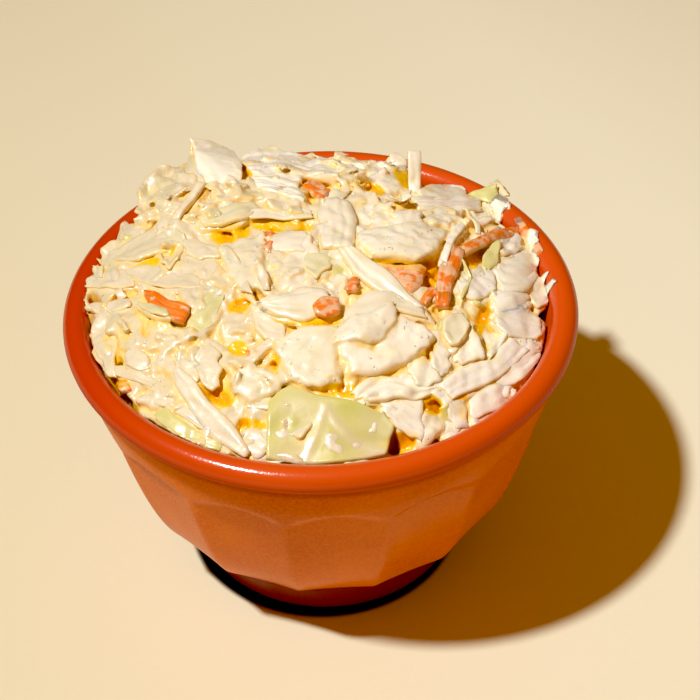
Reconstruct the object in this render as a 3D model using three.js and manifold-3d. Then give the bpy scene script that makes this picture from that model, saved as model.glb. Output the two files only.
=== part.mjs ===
// Coleslaw heaped in a small faceted terracotta bowl. Millimetres, +Z up, origin at the middle of the foot's base.
import * as THREE from "three";
import Module from "manifold-3d";

const wasm = await Module();
wasm.setup();

// Bowl
const rimRadius = 57.5; // outside of the rolled lip
const lipRoll = 3; // radius of the lip's round section
const lipHeight = 66.6; // height of the middle of that section
const neckHeight = 61.5; // where the plain neck runs into the lip
const neckRadius = 54.6;
const bellyHeight = 15; // lower edge of the body, above the foot
const bellyRadius = 37.5;
const bellyPower = 0.53; // how fast the side turns upright
const footRadius = 31.5;
const footHeight = 9.5;
const wallThick = 4.6;
const floorHeight = 12; // inside, above the base
const panelCount = 15;
const panelTurn = 13.8; // degrees from the front to the first ridge
const cuspHeight = 50.4; // where two arches meet on a ridge
const archRise = 3.6; // from a cusp to the crown of an arch
const ledgeHeight = 1.8; // rounded step at the top of a panel
const bellyScallop = 1.2; // the body's lower edge rises by this between ridges
const columnsPerPanel = 5;

// Heap
const slawRadius = 51;
const edgeHeight = 67.5; // mean height of the heap at the wall
const edgeTilt = 3.4; // higher at the back left than at the front right
const domeRise = 12;
const domePower = 2.3;
const shoulder = { x: -31, y: 32, rise: 4, spread: 13 }; // extra height at the back left
const coreDrop = 1.3; // the core lies this far under the pieces that show
const coreEdgeDrop = 0.8; // more of it at the wall
const coreRim = 1.4; // the core's top edge is this far inside the slaw's own edge
const wallGap = 0.3;
const coreColumns = 32;
const coreRings = 5;
const coreLumps = [
  { height: 0.8, alongX: 0.29, alongY: 0.17, shift: 0.6 },
  { height: 0.6, alongX: -0.21, alongY: 0.37, shift: 2.1 },
];
const seed = 41;

// Thinning of the fused heap
const slawFaces = 9800; // triangles kept
const firstMiss = 0.005; // mm that a surface may move at first, and at most
const mostMiss = 0.3;
const smallestFace = 0.002; // mm2, twice a triangle's area

// What the loose pieces of the heap measure: least and most of each.
const cuts = {
  leaf: { length: [11, 18], width: [7, 11], thick: 1.2, steps: 2, rows: 2, bend: 0.5, cup: 0.35, taper: 0.3 },
  shred: { length: [13, 22], width: [2.6, 4.6], thick: 1.3, steps: 2, rows: 1, bend: 0.45, cup: 0, taper: 0.35 },
  carrot: { length: [6, 11], width: [2.4, 3.6], thick: 1.8, steps: 1, rows: 1, bend: 0.3, cup: 0, taper: 0.3 },
};
const scattered = [
  { cut: "leaf", count: 40, reach: 47.5, tilt: 18, lift: 0 },
  { cut: "shred", count: 44, reach: 49.5, tilt: 14, lift: 0.3 },
  { cut: "carrot", count: 10, reach: 42, tilt: 12, lift: 0.4 },
];

// The largest pieces on top, where they lie: plan place, size, heading, then lift and slopes in degrees.
const shownPieces = [
  { cut: "leaf", x: 0, y: -38, length: 25, width: 18, turn: 0, lift: 1.2, tilt: 0, roll: 8, bend: -0.2 }, // front leaf
  { cut: "leaf", x: 7, y: -21, length: 33, width: 17, turn: 9, lift: 0.9, tilt: 2, roll: 0, bend: -0.25 },
  { cut: "leaf", x: 9, y: -16, length: 17, width: 10, turn: 42, lift: 2.7, tilt: 8, roll: -14, bend: -0.4 },
  { cut: "leaf", x: 14, y: -35, length: 17, width: 11, turn: -27, lift: 0.9, tilt: -6, roll: 8, bend: -0.2 },
  { cut: "leaf", x: 22, y: 11, length: 21, width: 15, turn: 80, lift: 1.1, tilt: 4, roll: 4, bend: -0.35 },
  { cut: "leaf", x: 4, y: 13, length: 19, width: 9, turn: -90, lift: 0.9, tilt: -4, roll: 0, bend: -0.3 },
  { cut: "leaf", x: -25, y: -10, length: 14, width: 8, turn: 56, lift: 0.5, tilt: 6, roll: -10, bend: -0.2 },
  { cut: "leaf", x: -26, y: -26, length: 12, width: 9, turn: -34, lift: 0.7, tilt: 0, roll: 10, bend: -0.3 },
  { cut: "leaf", x: -24, y: 39, length: 16, width: 11, turn: 108, lift: 4.6, tilt: 80, roll: 0, bend: 0.2 }, // peak
  { cut: "leaf", x: -36, y: 27, length: 14, width: 11, turn: 135, lift: 2.6, tilt: 54, roll: -12, bend: -0.2 },
  { cut: "leaf", x: -13, y: 42, length: 16, width: 9, turn: 10, lift: 2.3, tilt: 6, roll: 24, bend: -0.2 },
  { cut: "leaf", x: 29, y: 34, length: 14, width: 9, turn: 26, lift: 1.5, tilt: 6, roll: 14, bend: 0.2 },
  { cut: "leaf", x: 38, y: 27, length: 13, width: 7, turn: 40, lift: 2.8, tilt: 58, roll: 10, bend: 0.25 },
  { cut: "leaf", x: 41, y: 7, length: 12, width: 10, turn: -40, lift: 0.7, tilt: 4, roll: 8, bend: -0.3 },
  { cut: "leaf", x: 41, y: -8, length: 13, width: 11, turn: -47, lift: 0.7, tilt: 0, roll: 6, bend: -0.3 },
  { cut: "leaf", x: 28, y: -34, length: 13, width: 8, turn: 50, lift: 0.9, tilt: 4, roll: -16, bend: -0.5 },
  { cut: "leaf", x: 38, y: 12, length: 12, width: 6, turn: 85, lift: 1.3, tilt: 16, roll: 30, bend: 0.2 },
  { cut: "shred", x: 34, y: -21, length: 27, width: 6, turn: 39, lift: 1.1, tilt: 2, roll: 0, bend: -0.25 }, // ribbed
  { cut: "shred", x: 12, y: -3, length: 26, width: 6, turn: -51, lift: 1.5, tilt: 0, roll: 8, bend: -0.28 },
  { cut: "shred", x: -9, y: 19, length: 16, width: 5, turn: -3, lift: 1.7, tilt: 2, roll: 16, bend: -0.25 },
  { cut: "shred", x: -5, y: -13, length: 18, width: 5, turn: -18, lift: 1.5, tilt: 0, roll: 0, bend: -0.25 }, // spear
  { cut: "shred", x: -23, y: -33, length: 25, width: 4.6, turn: -54, lift: 1.3, tilt: 2, roll: 6, bend: -0.25 },
  { cut: "shred", x: -29, y: -34, length: 18, width: 3, turn: -43, lift: 0.5, tilt: 0, roll: 10, bend: -0.2 },
  { cut: "shred", x: -34, y: 3, length: 22, width: 6, turn: -34, lift: 1.3, tilt: -4, roll: 10, bend: -0.2 },
  { cut: "shred", x: -43, y: 17, length: 15, width: 5, turn: 3, lift: 1.1, tilt: -12, roll: 8, bend: -0.2 },
  { cut: "shred", x: -44, y: 7, length: 14, width: 4.6, turn: -6, lift: 1.1, tilt: -14, roll: 0, bend: -0.2 },
  { cut: "shred", x: -46, y: -2, length: 12, width: 3.4, turn: -12, lift: 0.7, tilt: -14, roll: 0, bend: -0.2 },
  { cut: "shred", x: 23, y: 37, length: 15, width: 3.4, turn: 88, lift: 2.4, tilt: 50, roll: 0, bend: 0.1 }, // upright
  { cut: "carrot", x: 38, y: 16, length: 22, width: 3, turn: -131, lift: 1.7, tilt: -4, roll: 0, bend: -0.4 },
  { cut: "carrot", x: 28, y: -1, length: 14, width: 3, turn: -103, lift: 1.1, tilt: -4, roll: 0, bend: -0.2 },
  { cut: "carrot", x: 18, y: -1, length: 11, width: 5, turn: -12, lift: 0.9, tilt: 0, roll: 14, bend: -0.2 },
  { cut: "carrot", x: -34, y: -6, length: 15, width: 4.4, turn: -44, lift: 1.3, tilt: 0, roll: 0, bend: -0.2 },
  { cut: "carrot", x: 2, y: -14, length: 9, width: 4, turn: -30, lift: 0.5, tilt: 0, roll: 0, bend: -0.2 },
  { cut: "carrot", x: 0, y: 29, length: 12, width: 4.4, turn: -61, lift: 0.9, tilt: 0, roll: 0, bend: -0.2 },
];

const degrees = Math.PI / 180;

// A seeded generator of even numbers from 0 to 1.
function seededRandom(start) {
  let state = start;
  return () => {
    state = (state * 1664525 + 1013904223) % 4294967296;
    return state / 4294967296;
  };
}

function between(random, [low, high]) {
  return low + (high - low) * random();
}

// A closed mesh from shared points and triangles.
function geometryOf(points, triangles) {
  const geometry = new THREE.BufferGeometry();
  geometry.setAttribute("position", new THREE.BufferAttribute(new Float32Array(points), 3));
  geometry.setIndex(new THREE.BufferAttribute(new Uint32Array(triangles), 1));
  return geometry;
}

// Turns rows of points round Z, between a pole below and a pole above. row(angle) gives [radius, height].
function turnedSolid(rows, lowPole, highPole, columns, startAngle) {
  const points = [0, 0, lowPole];
  for (const row of rows) {
    for (let column = 0; column < columns; column++) {
      const angle = startAngle + (column * 2 * Math.PI) / columns;
      const [radius, height] = row(angle);
      points.push(radius * Math.sin(angle), -radius * Math.cos(angle), height);
    }
  }
  points.push(0, 0, highPole);
  const last = points.length / 3 - 1;
  const at = (row, column) => 1 + row * columns + (column % columns);
  const triangles = [];
  for (let column = 0; column < columns; column++) {
    triangles.push(0, at(0, column + 1), at(0, column));
    for (let row = 0; row < rows.length - 1; row++) {
      const [a, b] = [at(row, column), at(row, column + 1)];
      const [c, d] = [at(row + 1, column + 1), at(row + 1, column)];
      triangles.push(a, b, c, a, c, d);
    }
    triangles.push(last, at(rows.length - 1, column), at(rows.length - 1, column + 1));
  }
  return geometryOf(points, triangles);
}

const plainRow = (radius, height) => () => [radius, height];

// Radius of the round body at a height, before the panels are cut into it.
function bodyRadius(height) {
  const climb = THREE.MathUtils.clamp((height - bellyHeight) / (neckHeight - bellyHeight), 0, 1);
  return bellyRadius + (neckRadius - bellyRadius) * climb ** bellyPower;
}

// Place across a panel, from -1 on one ridge to 1 on the next.
function acrossPanel(angle) {
  const pitch = (2 * Math.PI) / panelCount;
  const turned = (angle - panelTurn * degrees) / pitch;
  return 2 * (turned - Math.floor(turned)) - 1;
}

// A flat panel between two ridges is nearer the axis than the round body by the height of its chord.
function panelRadius(angle, height) {
  const halfPitch = Math.PI / panelCount;
  return (bodyRadius(height) * Math.cos(halfPitch)) / Math.cos(acrossPanel(angle) * halfPitch);
}

const archHeight = (angle) => cuspHeight + archRise * (1 - acrossPanel(angle) ** 2);
const bellyEdge = (angle) => bellyHeight + bellyScallop * (1 - acrossPanel(angle) ** 2);

function panelRow(share) {
  return (angle) => {
    const low = bellyEdge(angle);
    const height = low + (archHeight(angle) - ledgeHeight - low) * share;
    return [panelRadius(angle, height), height];
  };
}

// Radius of the inside of the wall, less a clearance.
function insideRadius(height, clearance) {
  return bodyRadius(height) - wallThick - clearance;
}

// Points round the lip's section, from the outside over the top to the inside.
function lipRows(grow, startDegrees, endDegrees, count) {
  const rows = [];
  for (let i = 0; i <= count; i++) {
    const angle = (startDegrees + ((endDegrees - startDegrees) * i) / count) * degrees;
    const radius = rimRadius - lipRoll + (lipRoll + grow) * Math.cos(angle);
    rows.push(plainRow(radius, lipHeight + (lipRoll + grow) * Math.sin(angle)));
  }
  return rows;
}

function insideRows(clearance) {
  const heights = [60, 45, 30, 20];
  const rows = heights.map((height) => plainRow(insideRadius(height, clearance), height + clearance));
  return [...rows, plainRow(insideRadius(bellyHeight, clearance) * 0.6, floorHeight + 1.5 + clearance)];
}

const wallColumns = panelCount * columnsPerPanel;
const wallStart = panelTurn * degrees;

function bowlGeometry() {
  const foot = [
    plainRow(footRadius - 0.8, 0),
    plainRow(footRadius, 0.8),
    plainRow(footRadius + 0.8, footHeight),
    plainRow(footRadius + 2.4, footHeight + 2),
  ];
  const panels = [0, 0.08, 0.25, 0.6, 1].map(panelRow);
  const ledge = (angle) => [bodyRadius(archHeight(angle)), archHeight(angle)];
  const rows = [
    ...foot,
    ...panels,
    ledge,
    plainRow(bodyRadius(57.5), 57.5),
    plainRow(neckRadius, neckHeight),
    ...lipRows(0, -70, 190, 7),
    ...insideRows(0),
  ];
  return turnedSolid(rows, 0, floorHeight, wallColumns, wallStart);
}

// The height of the heap at a place on its plan.
function heapTop(x, y) {
  const share = Math.min(1, Math.hypot(x, y) / slawRadius);
  const lean = (edgeTilt * (0.8 * y - 0.6 * x)) / slawRadius;
  const away = (x - shoulder.x) ** 2 + (y - shoulder.y) ** 2;
  const bulge = shoulder.rise * Math.exp(-away / (2 * shoulder.spread ** 2));
  return edgeHeight + lean + bulge + domeRise * (1 - share ** domePower);
}

function coreTop(x, y) {
  const share = Math.hypot(x, y) / slawRadius;
  let lumps = 0;
  for (const lump of coreLumps) {
    lumps += lump.height * Math.sin(lump.alongX * x + lump.alongY * y + lump.shift);
  }
  return heapTop(x, y) - coreDrop - coreEdgeDrop * share ** 6 + lumps;
}

function coreGeometry() {
  const clearance = wallGap + 0.05;
  const side = insideRows(clearance).reverse();
  const rings = [];
  for (let ring = coreRings; ring >= 1; ring--) {
    const radius = ((slawRadius - coreRim) * ring) / coreRings;
    rings.push((angle) => [radius, coreTop(radius * Math.sin(angle), -radius * Math.cos(angle))]);
  }
  const low = floorHeight + clearance + 0.4;
  return turnedSolid([...side, ...rings], low, coreTop(0, 0), coreColumns, 0);
}

// The space that the dish takes, with a clearance all over, open upwards.
function dishKeepOut() {
  const outer = rimRadius + 12;
  const rows = [
    plainRow(outer, -5),
    plainRow(outer, lipHeight),
    ...lipRows(wallGap, 0, 190, 7),
    ...insideRows(wallGap),
  ];
  return turnedSolid(rows, -5, floorHeight + wallGap, wallColumns, wallStart);
}

// A thin wavy sheet, closed all round: X along its length, Y across it, Z through it.
function sheetGeometry(size, random) {
  const { length, width, thick, steps, rows, bend, cup, taper } = size;
  const phase = 2 * Math.PI * random();
  const ripple = 0.5 + 0.5 * random();
  const middle = (u, v) => {
    const half = (width / 2) * (1 - taper * Math.abs(u) ** 3);
    const rise = bend * (u * u - 0.33) * (length / 2) + cup * (v * v - 0.33) * (width / 2);
    return new THREE.Vector3((length / 2) * u, half * v, rise + ripple * Math.sin(2.6 * u + 1.4 * v + phase));
  };
  const tops = [];
  const bottoms = [];
  const nudge = 0.01;
  for (let i = 0; i <= steps; i++) {
    for (let j = 0; j <= rows; j++) {
      const u = (2 * i) / steps - 1;
      const v = (2 * j) / rows - 1;
      const along = middle(u + nudge, v).sub(middle(u - nudge, v));
      const across = middle(u, v + nudge).sub(middle(u, v - nudge));
      const normal = along.cross(across).normalize().multiplyScalar(thick / 2);
      const ragged = 1 + 0.1 * (random() - 0.5) * (Math.abs(u) === 1 || Math.abs(v) === 1 ? 2 : 0);
      const point = middle(u * ragged, v * ragged);
      tops.push(point.clone().add(normal));
      bottoms.push(point.sub(normal));
    }
  }
  const across = rows + 1;
  const under = tops.length;
  const triangles = [];
  for (let i = 0; i < steps; i++) {
    for (let j = 0; j < rows; j++) {
      const [a, b] = [i * across + j, (i + 1) * across + j];
      triangles.push(a, b, b + 1, a, b + 1, a + 1);
      triangles.push(under + a, under + b + 1, under + b, under + a, under + a + 1, under + b + 1);
    }
  }
  const border = [];
  for (let i = 0; i < steps; i++) border.push(i * across);
  for (let j = 0; j < rows; j++) border.push(steps * across + j);
  for (let i = steps; i > 0; i--) border.push(i * across + rows);
  for (let j = rows; j > 0; j--) border.push(j);
  border.forEach((a, index) => {
    const b = border[(index + 1) % border.length];
    triangles.push(a, under + a, under + b, a, under + b, b);
  });
  const points = [...tops, ...bottoms].flatMap((point) => point.toArray());
  return geometryOf(points, triangles);
}

// Lays a sheet on the heap: its face along the heap's slope, turned to its heading, then sloped and rolled.
function laidOnHeap(geometry, piece) {
  const step = 0.5;
  const slopeX = (heapTop(piece.x + step, piece.y) - heapTop(piece.x - step, piece.y)) / (2 * step);
  const slopeY = (heapTop(piece.x, piece.y + step) - heapTop(piece.x, piece.y - step)) / (2 * step);
  const up = new THREE.Vector3(-slopeX, -slopeY, 1).normalize();
  const heading = new THREE.Vector3(Math.cos(piece.turn * degrees), Math.sin(piece.turn * degrees), 0);
  const side = new THREE.Vector3().crossVectors(up, heading).normalize();
  heading.crossVectors(side, up);
  const lie = new THREE.Matrix4().makeBasis(heading, side, up);
  lie.multiply(new THREE.Matrix4().makeRotationY(-piece.tilt * degrees));
  lie.multiply(new THREE.Matrix4().makeRotationX(piece.roll * degrees));
  lie.setPosition(piece.x, piece.y, heapTop(piece.x, piece.y) + piece.lift);
  return geometry.applyMatrix4(lie);
}

// Pieces spread evenly over the heap on a sunflower spiral; one that would cross the wall lies along it.
function scatteredPieces(random) {
  const pieces = [];
  const goldenAngle = Math.PI * (3 - Math.sqrt(5));
  for (const spread of scattered) {
    const cut = cuts[spread.cut];
    for (let i = 0; i < spread.count; i++) {
      const radius = spread.reach * Math.sqrt((i + 0.3 + 0.5 * random()) / spread.count);
      const angle = i * goldenAngle + 0.3 * random();
      const length = between(random, cut.length);
      const nearWall = radius + length / 2 > slawRadius - 2;
      const alongWall = angle / degrees + 90 + 24 * (random() - 0.5);
      const turn = nearWall ? alongWall : 360 * random();
      const tilt = nearWall ? spread.tilt / 2 : spread.tilt;
      pieces.push({
        cut: spread.cut,
        x: radius * Math.cos(angle),
        y: radius * Math.sin(angle),
        length,
        width: between(random, cut.width),
        turn,
        lift: spread.lift,
        tilt: tilt * (2 * random() - 1),
        roll: tilt * (2 * random() - 1),
        bend: cut.bend * (2 * random() - 1),
      });
    }
  }
  return pieces;
}

function solidOf(geometry) {
  const vertProperties = new Float32Array(geometry.attributes.position.array);
  const triVerts = new Uint32Array(geometry.index.array);
  return new wasm.Manifold(new wasm.Mesh({ numProp: 3, vertProperties, triVerts }));
}

function geometryFrom(solid) {
  const { numProp, vertProperties, triVerts } = solid.getMesh();
  const points = [];
  for (let i = 0; i < vertProperties.length; i += numProp) {
    points.push(vertProperties[i], vertProperties[i + 1], vertProperties[i + 2]);
  }
  return geometryOf(points, triVerts);
}

// Faces round each point of a closed mesh.
function facesAround(faces, pointCount) {
  const around = Array.from({ length: pointCount }, () => new Set());
  faces.forEach((face, index) => face.forEach((point) => around[point].add(index)));
  return around;
}

const cornersOf = (face, points) => face.map((index) => points[index]);

function faceNormal([a, b, c]) {
  return b.clone().sub(a).cross(c.clone().sub(a));
}

// How far a point may be drawn onto a neighbour: the furthest that any of its faces' planes then misses.
function missWhenDrawn(from, to, faces, points, around) {
  const shared = new Set();
  let miss = 0;
  for (const index of around[from]) {
    const face = faces[index];
    const normal = faceNormal(cornersOf(face, points));
    const area = normal.length();
    if (area > 0) miss = Math.max(miss, Math.abs(points[to].clone().sub(points[from]).dot(normal)) / area);
    if (face.includes(to)) {
      shared.add(face.find((point) => point !== from && point !== to));
      continue;
    }
    const moved = faceNormal(cornersOf(face.map((point) => (point === from ? to : point)), points));
    if (moved.dot(normal) <= 0.2 * moved.length() * area || moved.length() < smallestFace) return Infinity;
  }
  const neighbours = (point) => new Set([...around[point]].flatMap((index) => faces[index]));
  const common = [...neighbours(from)].filter((point) => neighbours(to).has(point));
  return shared.size === 2 && common.length === 4 ? miss : Infinity;
}

// Draws needless points onto a neighbour, flattest places first, until few enough faces are left.
function thinned(geometry, mostFaces) {
  const points = [];
  const array = geometry.attributes.position.array;
  for (let i = 0; i < array.length; i += 3) points.push(new THREE.Vector3(...array.slice(i, i + 3)));
  const faces = [];
  const corners = geometry.index.array;
  for (let i = 0; i < corners.length; i += 3) faces.push([...corners.slice(i, i + 3)]);
  const around = facesAround(faces, points.length);
  let left = faces.length;
  for (let allowed = firstMiss; allowed <= mostMiss && left > mostFaces; allowed *= 1.5) {
    for (let from = 0; from < points.length && left > mostFaces; from++) {
      if (!around[from].size) continue;
      const others = new Set([...around[from]].flatMap((index) => faces[index]));
      others.delete(from);
      let best = { miss: allowed, to: -1 };
      for (const to of others) {
        const miss = missWhenDrawn(from, to, faces, points, around);
        if (miss < best.miss) best = { miss, to };
      }
      if (best.to < 0) continue;
      for (const index of [...around[from]]) {
        const face = faces[index];
        if (face.includes(best.to)) {
          face.forEach((point) => around[point].delete(index));
          faces[index] = null;
          left -= 1;
        } else {
          face[face.indexOf(from)] = best.to;
          around[best.to].add(index);
        }
      }
      around[from].clear();
    }
  }
  return geometryOf(points.flatMap((point) => point.toArray()), faces.filter(Boolean).flat());
}

// The core with the pieces fused on, cut clear of the dish, without loose scraps or sealed hollows.
function coleslawGeometry() {
  const random = seededRandom(seed);
  let heap = solidOf(coreGeometry());
  for (const piece of [...shownPieces, ...scatteredPieces(random)]) {
    const sheet = sheetGeometry({ ...cuts[piece.cut], ...piece }, random);
    heap = heap.add(solidOf(laidOnHeap(sheet, piece)));
  }
  const cleared = heap.subtract(solidOf(dishKeepOut()));
  const bodies = cleared.decompose().sort((a, b) => b.volume() - a.volume());
  return thinned(geometryFrom(bodies[0]), slawFaces);
}

function terracotta() {
  return new THREE.MeshStandardMaterial({ color: 0xb4480e, roughness: 0.32, metalness: 0 });
}

function dressedCabbage() {
  return new THREE.MeshStandardMaterial({ color: 0xefe1c2, roughness: 0.45, metalness: 0 });
}

function namedMesh(name, geometry, material) {
  const mesh = new THREE.Mesh(geometry, material);
  mesh.name = name;
  return mesh;
}

const group = new THREE.Group();
group.add(namedMesh("bowl", bowlGeometry(), terracotta()));
group.add(namedMesh("coleslaw", coleslawGeometry(), dressedCabbage()));

export default group;
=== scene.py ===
import math
from functools import partial

import bpy
import numpy as np
from mathutils import Matrix, Vector


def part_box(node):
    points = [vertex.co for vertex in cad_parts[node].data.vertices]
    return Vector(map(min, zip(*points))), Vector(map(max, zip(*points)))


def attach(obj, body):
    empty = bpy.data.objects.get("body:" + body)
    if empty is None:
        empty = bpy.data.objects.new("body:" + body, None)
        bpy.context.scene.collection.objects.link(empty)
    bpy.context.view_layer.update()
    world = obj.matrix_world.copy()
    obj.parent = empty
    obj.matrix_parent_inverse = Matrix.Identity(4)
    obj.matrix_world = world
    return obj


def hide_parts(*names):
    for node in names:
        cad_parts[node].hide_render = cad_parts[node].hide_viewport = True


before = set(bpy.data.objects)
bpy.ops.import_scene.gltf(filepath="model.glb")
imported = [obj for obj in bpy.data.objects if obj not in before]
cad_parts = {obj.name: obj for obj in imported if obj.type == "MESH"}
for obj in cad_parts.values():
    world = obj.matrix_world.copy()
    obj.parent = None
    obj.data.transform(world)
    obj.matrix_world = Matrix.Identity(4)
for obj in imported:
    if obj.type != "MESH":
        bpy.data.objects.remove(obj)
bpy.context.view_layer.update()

mm = 0.001
fullTurn = 2 * math.pi
bowlLow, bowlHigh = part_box("bowl")
rimRadius = (bowlHigh[0] - bowlLow[0]) / 2 / mm  # shapes are worked out in millimetres
print("stage: frame loaded, rim radius", round(rimRadius, 2), "mm")


def addObject(name, data):
    thing = bpy.data.objects.new(name, data)
    bpy.context.collection.objects.link(thing)
    return thing


# The camera. Places in its square frame are in pixels from the top left corner.
view = dict(
    frameSize=700,  # pixels each way
    focalPixels=1949,
    sensor=36,
    clip=(0.01, 20),  # metres
    distance=8.0,  # in rim radii
    elevation=43.4,
    roll=-2.12,
    aimHeight=0.55,  # in rim radii, the point on the bowl's axis that is aimed at
    aimPixel=(322.2, 419.2),
)


def cameraAxes():
    size, focal = view["frameSize"], view["focalPixels"]
    climb, roll = math.radians(view["elevation"]), math.radians(view["roll"])
    aim = view["aimHeight"] * rimRadius
    reach = view["distance"] * rimRadius
    origin = np.array([0, -reach * math.cos(climb), aim + reach * math.sin(climb)])
    forward = np.array([0, math.cos(climb), -math.sin(climb)])
    right = np.array([1.0, 0, 0])
    up = np.cross(right, forward)
    yaw = math.atan((view["aimPixel"][0] - size / 2) / focal)
    pitch = math.atan((size / 2 - view["aimPixel"][1]) / focal * math.cos(yaw))
    turned = forward * math.cos(yaw) - right * math.sin(yaw)
    right = right * math.cos(yaw) + forward * math.sin(yaw)
    forward = turned * math.cos(pitch) - up * math.sin(pitch)
    up = up * math.cos(pitch) + turned * math.sin(pitch)
    rolledRight = right * math.cos(roll) + up * math.sin(roll)
    rolledUp = up * math.cos(roll) - right * math.sin(roll)
    return origin, rolledRight, rolledUp, forward


eye, eyeRight, eyeUp, eyeForward = cameraAxes()


def makeCamera():
    data = bpy.data.cameras.new("camera")
    data.sensor_width = view["sensor"]
    data.lens = view["sensor"] * view["focalPixels"] / view["frameSize"]
    data.clip_start, data.clip_end = view["clip"]
    camera = addObject("camera", data)
    turn = Matrix((eyeRight, eyeUp, -eyeForward)).transposed().to_4x4()
    camera.matrix_world = Matrix.Translation(Vector(eye) * mm) @ turn
    bpy.context.scene.camera = camera


makeCamera()


# Nodes, for shapes and for finishes.
def join(tree, value, socket):
    # Gives a socket a value, or links it to another node's socket.
    if isinstance(value, bpy.types.NodeSocket):
        tree.links.new(value, socket)
    else:
        socket.default_value = value


def feed(tree, node, **inputs):
    # Inputs go by name, with _ for a space, or by number as i0, i1 and so on.
    for key, value in inputs.items():
        join(tree, value, node.inputs[int(key[1:]) if key[1:].isdigit() else key.replace("_", " ")])
    return node


def wire(tree, kind, settings=None, **inputs):
    node = tree.nodes.new(kind)
    for key, value in (settings or {}).items():
        setattr(node, key, value)
    return feed(tree, node, **inputs)


def calc(tree, operation, *values):
    inputs = {"i%d" % i: value for i, value in enumerate(values)}
    return wire(tree, "ShaderNodeMath", dict(operation=operation), **inputs).outputs[0]


def ranged(tree, value, low, high, toLow=0.0, toHigh=1.0, kind="SMOOTHSTEP"):
    return wire(tree, "ShaderNodeMapRange", dict(interpolation_type=kind), i0=value, i1=low, i2=high,
                i3=toLow, i4=toHigh).outputs[0]


def axes(tree, vector):
    return wire(tree, "ShaderNodeSeparateXYZ", Vector=vector).outputs


def noise(tree, place, scale, detail=4, rough=0.5):
    return wire(tree, "ShaderNodeTexNoise", Vector=place, Scale=scale, Detail=detail,
                Roughness=rough).outputs["Fac"]


def ramp(tree, factor, *stops):
    # Each stop is a place and a colour or a grey.
    node = wire(tree, "ShaderNodeValToRGB", Fac=factor)
    elements = node.color_ramp.elements
    while len(elements) < len(stops):
        elements.new(0.5)
    for element, (place, colour) in zip(elements, stops):
        element.position = place
        element.color = colour if isinstance(colour, tuple) else (colour, colour, colour, 1)
    return node.outputs["Color"]


def mix(tree, factor, first, second):
    return wire(tree, "ShaderNodeMix", dict(data_type="RGBA"), i0=factor, i6=first, i7=second).outputs[2]


def bump(tree, height, strength, distance, **under):
    return wire(tree, "ShaderNodeBump", Height=height, Strength=strength, Distance=distance * mm,
                **under).outputs["Normal"]


def attribute(tree, name):
    return wire(tree, "ShaderNodeAttribute", dict(attribute_name=name)).outputs


def linear(red, green, blue):
    # A colour from its values of 0 to 255.
    def one(value):
        value /= 255
        return value / 12.92 if value <= 0.04045 else ((value + 0.055) / 1.055) ** 2.4
    return (one(red), one(green), one(blue), 1)


def newMaterial(name):
    material = bpy.data.materials.new(name)
    material.use_nodes = True
    tree = material.node_tree
    place = wire(tree, "ShaderNodeTexCoord").outputs["Object"]
    return material, tree, tree.nodes["Principled BSDF"], place


def newTree(name, values):
    # A shape's tree, with a named input for each value, and what its modifier has to be given.
    tree = bpy.data.node_groups.new(name, "GeometryNodeTree")
    kinds = {int: "Int", float: "Float", bpy.types.Material: "Material", bpy.types.Object: "Object"}
    given = {}
    tree.interface.new_socket("Geometry", in_out="INPUT", socket_type="NodeSocketGeometry")
    for label, value in values.items():
        kind = "NodeSocket" + kinds[type(value)]
        given[tree.interface.new_socket(label, in_out="INPUT", socket_type=kind).identifier] = value
    tree.interface.new_socket("Geometry", in_out="OUTPUT", socket_type="NodeSocketGeometry")
    return tree, tree.nodes.new("NodeGroupInput").outputs, given


def endTree(tree, geometry, finish):
    smooth = wire(tree, "GeometryNodeSetShadeSmooth", Geometry=geometry)
    real = wire(tree, "GeometryNodeRealizeInstances", Geometry=smooth.outputs[0])
    done = wire(tree, "GeometryNodeSetMaterial", Geometry=real.outputs[0], Material=finish)
    wire(tree, "NodeGroupOutput", i0=done.outputs[0])


def liveSocket(sockets, name=None):
    return next(socket for socket in sockets if socket.enabled and name in (None, socket.name))


def plainMeshFrom(holder, tree, given, name):
    # What the tree makes of the holder, as a plain mesh; the holder goes.
    modifier = holder.modifiers.new("shape", "NODES")
    modifier.node_group = tree
    for identifier, value in given.items():
        modifier[identifier] = value
    holder.update_tag()
    bpy.context.view_layer.update()
    evaluated = holder.evaluated_get(bpy.context.evaluated_depsgraph_get())
    mesh = bpy.data.meshes.new_from_object(evaluated)
    mesh.name = name
    holder.modifiers.remove(modifier)
    piece = addObject(name, mesh)
    bpy.data.objects.remove(holder, do_unlink=True)
    return piece


# The bowl, in millimetres.
bowl = dict(
    lipRoll=3.0,  # radius of the lip's round section
    lipHeight=66.6,
    lipArc=(-58, 185, 26),  # from and to what turn its section goes, and in how many points
    neckHeight=61.5,
    neckRadius=54.6,
    underLip=(0.1, 1.2),  # the corner under the lip: out from the neck's radius and up from its height
    bellyHeight=15.0,
    bellyRadius=37.5,
    bellyPower=0.53,
    footRadius=31.5,
    footHeight=9.5,
    footEdge=2.0,
    waist=[(0.5, -1.5), (1.1, 0.0), (2.2, 1.3)],  # out from the foot and up from its top
    underBelly=(4.2, -2.2),  # out from the foot and up from the belly
    wallThick=4.6,
    wallTop=60.0,  # where the inside starts to lean in to the lip
    wallLean=6.6,  # and over how much height
    innerHeights=(62, 58, 52, 45, 38, 31, 25, 20, 17),
    floorHeight=12.0,
    innerFloor=[(28, 2.2), (20, 0.8), (10, 0.2), (0.01, 0.0)],  # radius, and height over the floor
    panels=15,
    panelTurn=13.8,  # degrees from the front to the first ridge
    cuspHeight=50.4,
    archRise=3.6,
    ledge=1.7,
    bellyScallop=1.2,
    flute=1.3,  # how much deeper the panels are than flat ones
    ridgeSoft=0.12,  # how rounded the ridges between the panels are
    columns=300,
    rows=250,
)


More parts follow.
